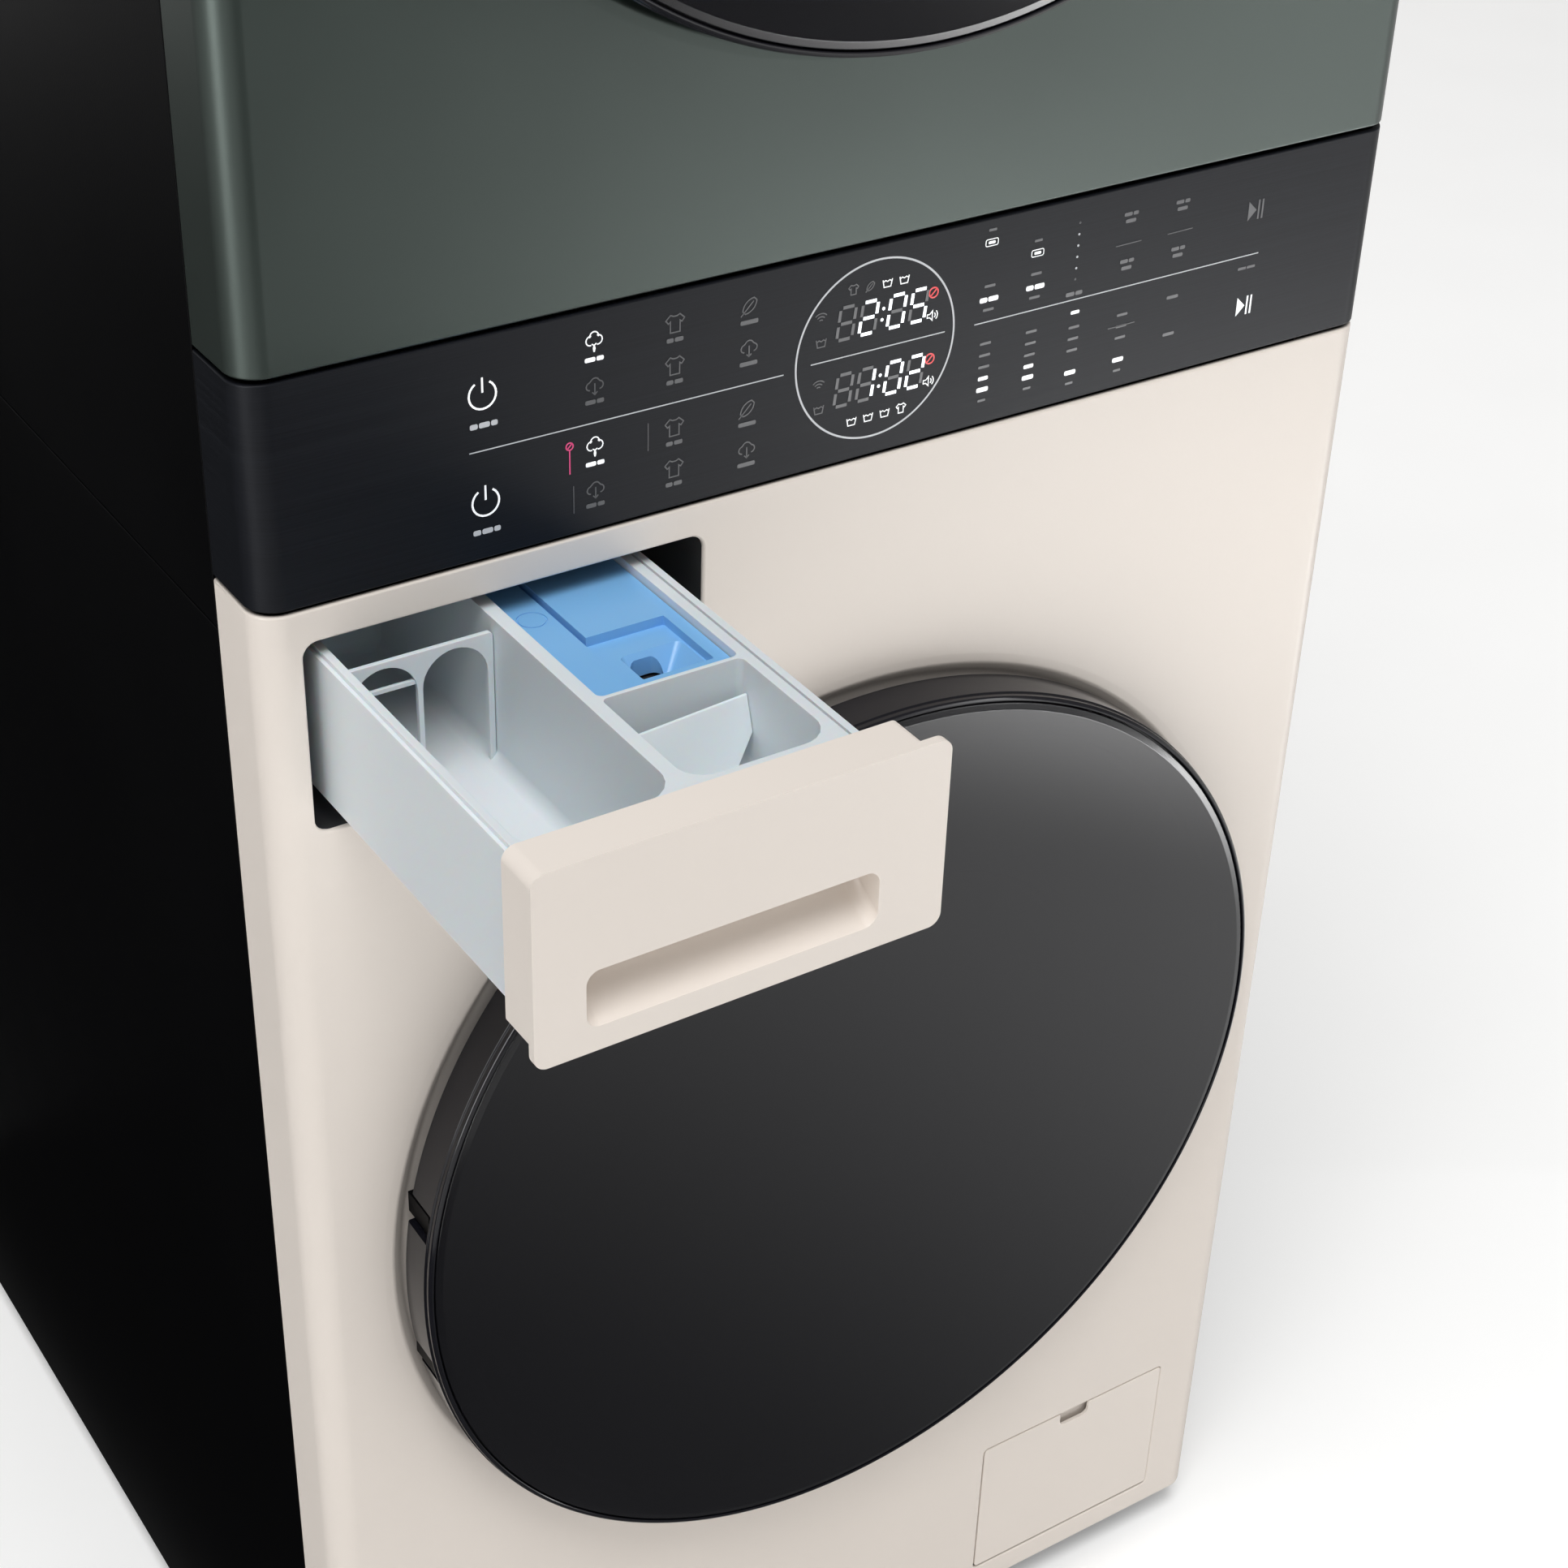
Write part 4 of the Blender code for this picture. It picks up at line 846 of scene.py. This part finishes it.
def options(bright, soft, dim):
    """The option columns and the start signs, right of the display."""
    soft.stroke([(0.054, 0.0512), (0.2225, 0.0518)], 0.0005)
    for x, name_z in ((0.0613, 0.0622), (0.0874, 0.0626)):
        bright.bar((x, name_z), (0.0042, 0.0056), 0.0024)
        for rise in (0.0065, -0.005):
            dim.bar((x, name_z + rise), (0.006,), 0.0013)
    for x, z in ((0.0607, 0.0896), (0.0872, 0.0792)):
        bright.stroke(box_path((x - 0.0034, x + 0.0034), (z - 0.0016, z + 0.0016), 0.0008, 3), 0.0004, True)
        bright.bar((x, z), (0.0038,), 0.0013)
        dim.bar((x, z + 0.006), (0.0044,), 0.0012)
    for i in range(6):
        target = soft if i in (1, 2, 3, 4) else dim
        target.area(arc((0.1105, 0.089 - i * 0.0055), 0.0006, 0, 330, 8))
    dim.bar((0.1105, 0.0545), (0.005, 0.004), 0.002)
    for x in (0.1405, 0.1712):
        for z in (0.0858, 0.0626):
            dim.bar((x, z + 0.0018), (0.0046, 0.003), 0.0018)
            dim.bar((x, z - 0.0016), (0.006,), 0.0018)
        dim.stroke([(x - 0.0075, 0.0728), (x + 0.0075, 0.073)], 0.0004)
    for x, z in ((0.0611, 0.0206), (0.0872, 0.0207), (0.1123, 0.0174), (0.1409, 0.0175)):
        bright.bar((x, z - 0.003), (0.0066,), 0.0023)
        if x < 0.1:
            bright.bar((x, z + 0.0026), (0.0056,), 0.0019)
        for step in (1, 2, 3):
            dim.bar((x, z + 0.0026 + step * 0.0058), (0.0062,), 0.0013)
        dim.bar((x, z - 0.0085), (0.0044,), 0.0012)
    bright.bar((0.1122, 0.0449), (0.005,), 0.0017)
    for z in (0.04, 0.021):
        dim.bar((0.1709, z), (0.0068,), 0.0016)
    dim.stroke([(0.133, 0.0318), (0.149, 0.032)], 0.0004)
    for target, z in ((dim, 0.0744), (bright, 0.0256)):
        target.area(((0.2128, z + 0.0048), (0.2128, z - 0.0048), (0.2178, z)))
        for x in (0.2192, 0.2216):
            target.stroke([(x, z + 0.0048), (x, z - 0.0048)], 0.001)
    dim.bar((0.216, 0.0455), (0.005, 0.005), 0.0013)


def panel_marks():
    names = ("bright", "soft", "dim", "digit", "red", "pink")
    marks = {name: Marks(f"panel_marks_{name}", f"mark_{name}") for name in names}
    display(marks["bright"], marks["soft"], marks["dim"], marks["digit"], marks["red"])
    programmes(marks["bright"], marks["soft"], marks["dim"], marks["pink"])
    options(marks["bright"], marks["soft"], marks["dim"])
    for mark in marks.values():
        mark.finish()


# ---------------------------------------------------------------- doors

RIM_RADIUS = span("washer_door_cover", 0)[1]
COVER_FRONT = span("washer_door_cover", 1)[0] - FRONT
FRAME_RADIUS = span("washer_door_frame", 0)[1]
HINGE_Y = -0.0165
GLASS = 0.003


def door_ring(unit, height):
    """The gloss band round the door: a plain wall, a thin step and a front bead, notched for the hinge arms."""
    outer, inner, lip = DOOR_RADIUS, DOOR_RADIUS - 0.02, RIM_RADIUS + 0.0005
    outline = [
        (inner, DOOR_BACK, 0.0004), (outer - 0.0004, DOOR_BACK, 0.0012),
        (outer, DOOR_FACE + 0.005, 0.0005), (outer - 0.0008, DOOR_FACE + 0.0044, 0.0003),
        (outer - 0.0008, DOOR_FACE + 0.0016, 0.0012), (lip + 0.0002, DOOR_FACE, 0.0008),
        (lip, DOOR_FACE + 0.004, 0.0003), (inner, DOOR_FACE + 0.004, 0.0004),
    ]
    ring = turned(f"{unit}_ring_band", rounded(outline, steps=4), height, steps=256)
    for side in (-1, 1):
        z = sorted((height + side * 0.038, height + side * 0.054))
        ring = cut(ring, slab("notch", box_path((-0.262, -0.2365), z, 0.001), HINGE_Y - 0.008, 0.01))
    smooth(piece(f"{unit}_ring_band", ring, "gloss_black", f"{unit}_door", f"{unit}_door_ring"), 28)


def door_glass(unit, height):
    """The domed outer glass, its rim ground round, with a printed black border on its inner face."""
    rim, dome = RIM_RADIUS, DOOR_FACE + 0.0005 - COVER_FRONT
    crown = [(rim * i / 24, COVER_FRONT + dome * (i / 24) ** 2) for i in range(23)]
    edge = [(rim * 0.985, COVER_FRONT + dome * 0.97, 0.002), (rim, DOOR_FACE + 0.0012, 0.0009)]
    edge.append((rim, DOOR_FACE + GLASS, 0.0006))
    back = [(rim * i / 24, COVER_FRONT + dome * (i / 24) ** 2 + GLASS) for i in range(23, -1, -1)]
    profile = crown + rounded([crown[-1], *edge, back[0]], closed=False, steps=5)[1:-1] + back
    glass = turned(f"{unit}_glass", profile, height, steps=256)
    smooth(piece(f"{unit}_glass", glass, "tinted_glass", f"{unit}_door", f"{unit}_door_cover"), 50)
    inner = 0.156 if unit == "washer" else 0.0
    shade_y = COVER_FRONT + GLASS + 0.0012
    outer, edge_y = FRAME_RADIUS - 0.004, shade_y + 0.0033
    border = [(inner, shade_y + 0.0006), (outer, edge_y), (outer, edge_y + 0.0006), (inner, shade_y + 0.0014)]
    ring = turned(f"{unit}_glass_border", border, height)
    smooth(piece(f"{unit}_glass_border", ring, "dark_plastic", f"{unit}_door"))


def washer_door_back(height):
    """The moulded frame and the thick glass bowl that the washer's door carries."""
    rim, inner, back, face = FRAME_RADIUS, 0.15, -0.0065, -0.024
    outline = [
        (inner, face, 0.0008), (inner, back - 0.001, 0.002), (0.156, back - 0.0005, 0.003),
        (0.17, back - 0.0022, 0.004), (0.185, back, 0.004), (rim - 0.002, back, 0.002), (rim, back - 0.003, 0.001),
        (rim, face, 0.0006), (rim - 0.003, face, 0.0006), (rim - 0.003, back - 0.005, 0.002),
        (inner + 0.003, back - 0.005, 0.002), (inner + 0.003, face, 0.0006),
    ]
    frame_mesh = turned("washer_door_moulding", rounded(outline, steps=4), height)
    smooth(piece("washer_door_moulding", frame_mesh, "grey_plastic", "washer_door", "washer_door_frame"))
    outer = [
        (0, 0.09), (0.07, 0.089, 0.05), (0.106, 0.083, 0.02), (0.125, 0.064, 0.03), (0.139, 0.034, 0.05),
        (0.145, 0.006, 0.02), (0.1462, -0.0042, 0.002), (0.149, -0.0042, 0.001),
    ]
    inside = [
        (0.149, -0.0084, 0.001), (0.1425, -0.0084, 0.002), (0.1395, 0.006, 0.02), (0.1335, 0.032, 0.05),
        (0.12, 0.061, 0.03), (0.102, 0.0785, 0.02), (0.068, 0.0842, 0.05), (0, 0.0855),
    ]
    bowl = turned("washer_glass_bowl", rounded([*outer, *inside], closed=False, steps=6), height)
    smooth(piece("washer_glass_bowl", bowl, "clear_glass", "washer_door", "washer_door_bowl"), 60)


def dryer_door_back(height):
    """The dryer door's closed inner moulding, dished towards the drum."""
    rim, inner, back, face, wall = FRAME_RADIUS, 0.15, -0.0065, -0.024, 0.003
    outline = [
        (0, 0.018), (0.12, 0.018, 0.02), (inner, 0.0165, 0.01), (inner + 0.0065, back - 0.001, 0.006),
        (0.185, back, 0.004), (rim - 0.002, back, 0.002), (rim, face, 0.0006), (rim - wall, face, 0.0006),
        (rim - wall, back - wall, 0.002), (inner + 0.01, back - wall, 0.004), (inner - 0.004, 0.013, 0.01), (0, 0.015),
    ]
    mesh = turned("dryer_door_moulding", rounded(outline, closed=False, steps=6), height)
    smooth(piece("dryer_door_moulding", mesh, "grey_plastic", "dryer_door", "dryer_door_frame"))


def door_hook(unit, height):
    """The latch hook on the door's back."""
    side = [(-0.008, height - 0.008, 0.001), (0.012, height - 0.006, 0.002), (0.012, height + 0.006, 0.002),
            (-0.008, height + 0.008, 0.001)]
    body = slab("hook", rounded(side, steps=3), 0.196, 0.204, "x")
    low, high = height - 0.004, height + 0.004
    eye = [(0.001, low, 0.001), (0.0085, low, 0.001), (0.0085, high, 0.001), (0.001, high, 0.001)]
    eye = slab("eye", rounded(eye, steps=3), 0.19, 0.21, "x")
    smooth(piece(f"{unit}_door_hook", soften(cut(body, eye), 0.0004, 2), "bearing_steel", f"{unit}_door"))


def doors():
    for unit, height in (("washer", WASHER_AXIS), ("dryer", DRYER_AXIS)):
        door_ring(unit, height)
        door_glass(unit, height)
        door_hook(unit, height)
    washer_door_back(WASHER_AXIS)
    dryer_door_back(DRYER_AXIS)


# ---------------------------------------------------------------- detergent drawer

PLATE_X, PLATE_Z = span("drawer_front", 0), span("drawer_front", 2)
PLATE_Y = span("drawer_front", 1)[0] - FRONT
BLOCK_Y = span("drawer_front", 1)[1] - FRONT
TRAY_X, TRAY_Z = span("drawer_tray", 0), span("drawer_tray", 2)
TRAY_Y = tuple(y - FRONT for y in span("drawer_tray", 1))
CAP_X, CAP_Z = span("softener_insert", 0), span("softener_insert", 2)
CAP_Y = tuple(y - FRONT for y in span("softener_insert", 1))
MOULD_GAP = 0.0004
GATE_X = (CAP_X[0] - MOULD_GAP, CAP_X[1] + MOULD_GAP)
SOAP_X = (span("liquid_insert", 0)[0] - MOULD_GAP, span("liquid_insert", 0)[1] + MOULD_GAP)


def ring_at(box, at, radius, along="z"):
    """A rounded rectangle (x low, x high, b low, b high) at one place along an axis."""
    x0, x1, b0, b1 = box
    return [place(point, at, along) for point in box_path((x0, x1), (b0, b1), radius)]


def well(name, x, y, floor, top, radii, fillet):
    """A cutter for a moulded well: upright walls, rounded corners and a floor that meets them in a fillet."""
    rings = []
    for step in range(6):
        angle = math.radians(18 * step)
        inset, rise = fillet * (1 - math.sin(angle)), fillet * (1 - math.cos(angle))
        shrunk = tuple(max(0.0006, r - inset) for r in radii)
        rings.append(ring_at((x[0] + inset, x[1] - inset, y[0] + inset, y[1] - inset), floor + rise, shrunk))
    rings.append(ring_at((*x, *y), top, radii))
    return loft(name, rings)


def tile(name, x, y, radius, low, high, steps=6):
    """An upright block with rounded corners as seen from above."""
    return slab(name, box_path(x, y, radius, steps), low, high, "z")


def drawer_front():
    """The handle: a thin face plate on a deeper block, with a scooped grip."""
    plate_mesh = slab("handle", box_path(PLATE_X, PLATE_Z, 0.006, 8), PLATE_Y, PLATE_Y + 0.0042)
    block_x, block_z = (PLATE_X[0], PLATE_X[1] - 0.011), (PLATE_Z[0] + 0.01, PLATE_Z[1])
    block_path = box_path(block_x, block_z, (0.002, 0.002, 0.0035, 0.006), 8)
    block = slab("block", block_path, PLATE_Y + 0.002, BLOCK_Y)
    grip_x, grip_z, deep = (-0.2565, -0.1215), (0.7525, 0.7795), PLATE_Y + 0.0205
    rings = []
    for share in (-0.25, 0.0, 0.25, 0.5, 0.75, 0.92, 1.0):
        inside = max(0.0, share)
        inset = 0.0024 * max(0.0, share - 0.75) / 0.25
        rise = 0.014 * inside**1.2
        box = (grip_x[0] + inset, grip_x[1] - inset, grip_z[0] + rise + inset, grip_z[1] - inset)
        rings.append(ring_at(box, PLATE_Y + (deep - PLATE_Y) * share, 0.0062, "y"))
    mesh = cut(fuse(plate_mesh, block), loft("grip", rings))
    smooth(piece("drawer_handle", soften(mesh, 0.0011, 4), "cream_enamel", "drawer", "drawer_front"), 40)


def drawer_tray():
    """The tray: a soap well on the left, and a softener well on the right with a seat for its cap behind."""
    body = slab("tray", box_path(TRAY_X, TRAY_Y, (0.002, 0.002, 0.012, 0.012)), *TRAY_Z, "z")
    front, rear = TRAY_Y[0] + 0.0065, TRAY_Y[1] - 0.003
    floor, shallow, top = TRAY_Z[0] + 0.0025, TRAY_Z[1] - 0.05, TRAY_Z[1] + 0.01
    cap_front = CAP_Y[0] - 0.0025
    wells = [
        well("soap", SOAP_X, (front, rear), floor, top, (0.006, 0.016, 0.003, 0.003), 0.006),
        well("softener", GATE_X, (front + 0.004, cap_front), shallow, top, (0.012, 0.014, 0.003, 0.003), 0.006),
        well("cap_well", GATE_X, (CAP_Y[0] - MOULD_GAP, rear), floor, top, (0.003,) * 4, 0.004),
    ]
    rim_y = (TRAY_Y[0] + 0.004, TRAY_Y[1] - 0.004)
    groove_x, step_x = (GATE_X[1] + 0.0052, GATE_X[1] + 0.0064), (TRAY_X[0] - 0.01, TRAY_X[0] + 0.0018)
    groove = tile("groove", groove_x, rim_y, 0.0005, TRAY_Z[1] - 0.0025, top, 2)
    step = tile("step", step_x, rim_y, 0.0005, TRAY_Z[1] - 0.0022, top, 2)
    mesh = cut(body, *wells, groove, step)
    smooth(piece("drawer_tray_moulding", soften(mesh, 0.0005, 2, 40), "pale_plastic", "drawer", "drawer_tray"), 40)


def drawer_gate():
    """The sloping gate in front of the softener cap, lifted off the floor at its foot."""
    y_low, y_high = CAP_Y[0] - 0.029, CAP_Y[0] - 0.0082
    thick = 0.0014
    low, high = TRAY_Z[1] - 0.045, TRAY_Z[1] - 0.015
    left, right = GATE_X[0] + 0.0002, GATE_X[1] - 0.0002
    face = [
        (left, high), (right, high), (right, low + 0.014), (right - 0.014, low), (left + 0.022, low - 0.001),
        (left + 0.016, low + 0.004), (left, low + 0.003),
    ]
    rings = []
    for shift in (0.0, thick):
        ring = []
        for x, z in face:
            lean = (high - z) / (high - low)
            skew = (x - left) / (right - left)
            back = 0.006 * (1 - skew) + lean * (y_high - y_low) * (1 - 0.55 * skew)
            ring.append((x, y_high - back + shift, z))
        rings.append(ring)
    gate = soften(loft("gate", rings), 0.0004, 2)
    smooth(piece("drawer_gate", gate, "pale_plastic", "drawer"))


def softener_cap():
    """The blue cap: a low strip with a thumb ring, a raised deck behind and a filling well in front."""
    x0, x1 = CAP_X
    strip_x, step_y = x0 + 0.0205, -0.036
    top = CAP_Z[1]
    body = slab("cap", box_path(CAP_X, CAP_Y, 0.0028), CAP_Z[0], top, "z")
    over, under_z = top + 0.01, CAP_Z[0] - 0.01
    near, right = CAP_Y[0] + 0.008, x1 - 0.0062
    strip_y = (CAP_Y[0] + 0.007, CAP_Y[1] - 0.004)
    low_strip = tile("strip", (x0 + 0.0016, strip_x), strip_y, 0.0012, top - 0.0018, over, 3)
    shelf = tile("shelf", (strip_x + 0.0012, right), (near, step_y), 0.0012, top - 0.0042, over, 3)
    channel_x = (strip_x - 0.0004, strip_x + 0.0014)
    channel = tile("channel", channel_x, (near, CAP_Y[1] - 0.002), 0.0006, top - 0.005, over, 2)
    seam = tile("seam", (strip_x, right), (step_y - 0.0007, step_y + 0.0007), 0.0005, top - 0.0046, over, 2)
    pool_x, pool_y = (x0 + 0.029, x1 - 0.007), (CAP_Y[0] + 0.0125, CAP_Y[0] + 0.0345)
    sump = (pool_x[0] + 0.003, pool_x[1] - 0.01, pool_y[0] + 0.002, pool_y[1] - 0.008)
    pool = loft("pool", [
        ring_at(sump, top - 0.0145, 0.002),
        ring_at((*pool_x, *pool_y), top - 0.004, 0.003),
        ring_at((*pool_x, *pool_y), over, 0.003),
    ])
    drain_x, drain_y = (pool_x[0] + 0.003, pool_x[0] + 0.018), (pool_y[0] + 0.007, pool_y[0] + 0.02)
    drain = tile("drain", drain_x, drain_y, 0.004, under_z, top)
    wall = 0.0018
    under_x, under_y = (x0 + wall, x1 - wall), (CAP_Y[0] + wall, CAP_Y[1] - wall)
    under = tile("under", under_x, under_y, 0.002, under_z, top - 0.015)
    groove = [(0.006, top - 0.0024), (0.0068, top - 0.0024), (0.0068, over), (0.006, over)]
    thumb = turned("thumb", groove, -0.008, x0 + 0.011, 64, "z")
    mesh = cut(body, low_strip, shelf, channel, seam, pool, drain, under, thumb)
    smooth(piece("softener_cap", soften(mesh, 0.0005, 2), "blue_plastic", "drawer", "softener_insert"))
    # painted shade: a dark plate under the drain hole, standing in for the dark seen down the opening
    drain_shade_plate = tile("drain_shade_plate", pool_x, (pool_y[0] - 0.004, pool_y[1]), 0.004, top - 0.0185, top - 0.0165)
    smooth(piece("cap_drain_shade", soften(drain_shade_plate, 0.0004, 2), "dark_plastic", "drawer"))


def soap_divider():
    """The arched frame across the soap well, with its bar and two posts."""
    x, z = span("liquid_insert", 0), span("liquid_insert", 2)
    y0, y1 = (y - FRONT for y in span("liquid_insert", 1))
    outer = slab("divider", box_path(x, (z[0], z[1]), 0.002), y0, y1)
    holes = []
    reach = (x[1] - x[0]) / 4 - 0.002
    for side in (-1, 1):
        centre_x = (x[0] + x[1]) / 2 + side * (reach + 0.0012)
        top = z[1] - 0.003 - reach
        foot = z[0] - 0.01
        arch = [(centre_x + reach, foot), *arc((centre_x, top), reach, 0, 180, 16), (centre_x - reach, foot)]
        holes.append(slab("arch", arch, y0 - 0.01, y1 + 0.01))
    mesh = cut(outer, *holes)
    bar_path = box_path((x[0] + 0.004, (x[0] + x[1]) / 2), (z[1] - 0.015, z[1] - 0.0128), 0.0006, 2)
    bar = slab("bar", bar_path, y0 + 0.0004, y1 - 0.0004)
    smooth(piece("soap_divider", soften(fuse(mesh, bar), 0.0004, 2), "pale_plastic", "drawer", "liquid_insert"))


def drawer():
    drawer_front()
    drawer_tray()
    drawer_gate()
    softener_cap()
    soap_divider()


# ---------------------------------------------------------------- drums, seal and back


def drum(name, node, body, height, mouth):
    """A drum of sheet steel: a rolled mouth, two ribs round the wall and a dished back."""
    radius, wall = span(node, 0)[1], 0.0014
    front = span(node, 1)[0] - FRONT
    rear = front + (0.405 if node == "wash_drum" else 0.49)

    def skin(inset):
        """The path of the outer or inner skin, from the mouth to the axis."""
        out, near, far = radius - inset, front + inset, rear - inset
        path = [(mouth + 0.004, near, 0.003), (out - 0.01, near + 0.001, 0.008), (out, near + 0.012, 0.008)]
        for at in (front + 0.06, rear - 0.06):
            path += [(out, at - 0.007, 0.004), (out - 0.003, at - 0.002, 0.003)]
            path += [(out - 0.003, at + 0.002, 0.003), (out, at + 0.007, 0.004)]
        path += [(out, far - 0.012, 0.008), (out - 0.012, far, 0.008)]
        steps = ((0.205, 0), (0.192, 0.006), (0.15, 0.006), (0.138, 0), (0.064, 0), (0.052, 0.006))
        return path + [(at, far - sunk, 0.006) for at, sunk in steps] + [(0, far - 0.006)]

    lip = [(mouth + 0.004, front + 0.01, 0.002), (mouth, front + 0.01, 0.002), (mouth, front, 0.003)]
    inside = [*skin(wall)[:0:-1], (mouth + 0.004 + wall, front + 0.01)]
    profile = rounded([*lip, *skin(0)], closed=False, steps=4) + rounded(inside, closed=False, steps=4)
    obj = piece(name, turned(name, profile, height, steps=160), "stainless", body, node)
    if node == "dryer_drum":
        obj.data.materials[0] = MATERIALS["dryer_steel"]
    smooth(obj, 40)


def gasket():
    """The door seal: a sealing lip, a bellows fold and the collar on the tub's mouth."""
    wall = 0.0025
    inner = [
        (0.174, 0.002, 0.001), (0.158, 0.012, 0.005), (0.155, 0.026, 0.004), (0.167, 0.034, 0.0025),
        (0.158, 0.042, 0.0025), (0.1756, 0.052, 0.003), (0.1756, 0.068, 0.001),
    ]
    outer = [(radius + wall, along, max(bend, 0.001)) for radius, along, bend in reversed(inner[1:])]
    lip = [(0.1765, 0.0045, 0.0006), (0.1885, 0.0045, 0.001), (0.1885, 0.002, 0.001)]
    mesh = turned("door_seal", rounded([*inner, *outer, *lip], steps=5), WASHER_AXIS)
    smooth(piece("door_seal", mesh, "grey_rubber", "cabinet", "door_gasket"), 60)


def screw(x, z, y):
    """A pan-head screw with a cross recess, facing the wall."""
    head = [(0, y), (0.0046, y), (0.0046, y + 0.001, 0.0008), (0.003, y + 0.0022, 0.001), (0, y + 0.0022)]
    mesh = turned("screw", rounded(head, closed=False, steps=3), z, x, 28)
    for across, up in ((0.0027, 0.0005), (0.0005, 0.0027)):
        path = box_path((x - across, x + across), (z - up, z + up), 0.0002, 2)
        mesh = cut(mesh, slab("slot", path, y + 0.0011, y + 0.01))
    return mesh


def back():
    """The back of the tower: two service covers, louvres, a strip over the split, and the screws."""
    y = span("rear_panel", 1)[0] - FRONT + 0.0012
    covers = (("washer", (-0.19, 0.13), (0.3, 0.645)), ("dryer", (-0.21, 0.21), (1.02, 1.34)))
    for unit, x, z in covers:
        cover = plate(f"{unit}_service_cover", [box_path(x, z, 0.024)], y + 0.0001, y + 0.0024, 0.0011)
        raised = box_path((x[0] + 0.03, x[1] - 0.03), (z[0] + 0.03, z[1] - 0.03), 0.018)
        field = plate("field", [raised], y + 0.0015, y + 0.004, 0.0012)
        smooth(piece(f"{unit}_service_cover", merged("cover", [cover, field]), "galvanised", "cabinet"))
    paths = [box_path((-0.15, 0.15), (1.42 + 0.018 * i, 1.427 + 0.018 * i), 0.0034) for i in range(8)]
    fins = [plate("louvre", [path], y + 0.0001, y + 0.0036, 0.0016) for path in paths]
    smooth(piece("rear_louvres", merged("rear_louvres", fins), "galvanised", "cabinet"))
    seam = plate("rear_seam", [box_path((-0.296, 0.296), (0.818, 0.832), 0.002)], y + 0.0001, y + 0.0018, 0.0007)
    smooth(piece("rear_seam", seam, "galvanised", "cabinet"))
    at = [(x, z) for x in (-0.29, 0.29) for z in (0.05, 0.26, 0.47, 0.68, 0.93, 1.16, 1.39, 1.62)]
    for _, x, z in covers:
        at += [(a, b) for a in (x[0] + 0.012, x[1] - 0.012) for b in (z[0] + 0.012, z[1] - 0.012)]
    screws = merged("rear_screws", [screw(x, z, y + 0.0001) for x, z in at])
    smooth(piece("rear_screws", screws, "bearing_steel", "cabinet"), 40)


# ---------------------------------------------------------------- the kept nodes


def keep_nodes():
    """Every node that is still shown gets its slot's finish and softly rounded edges."""
    for row in frame["record"]["subparts"]:
        node = NODES.get(row["node"])
        if node is None or node.hide_render:
            continue
        look = MATERIALS[row["material_slot"]]
        for i in range(len(node.data.materials)):
            node.data.materials[i] = look
        if not node.data.materials:
            node.data.materials.append(look)
        node.data.shade_smooth()
        weld = node.modifiers.new("weld", "WELD")
        weld.merge_threshold = 0.00001
        bevel = node.modifiers.new("edges", "BEVEL")
        bevel.width = 0.0004
        bevel.segments = 2
        bevel.limit_method = "ANGLE"
        bevel.angle_limit = math.radians(30)
        node.modifiers.new("flat_faces", "WEIGHTED_NORMAL").keep_sharp = True


make_camera()
make_studio()
washer_front()
dryer_front()
control_front()
panel_marks()
doors()
drawer()
drum("wash_drum_shell", "wash_drum", "washer_rotor", WASHER_AXIS, 0.168)
drum("dryer_drum_shell", "dryer_drum", "dryer_rotor", DRYER_AXIS, 0.17)
gasket()
back()
keep_nodes()
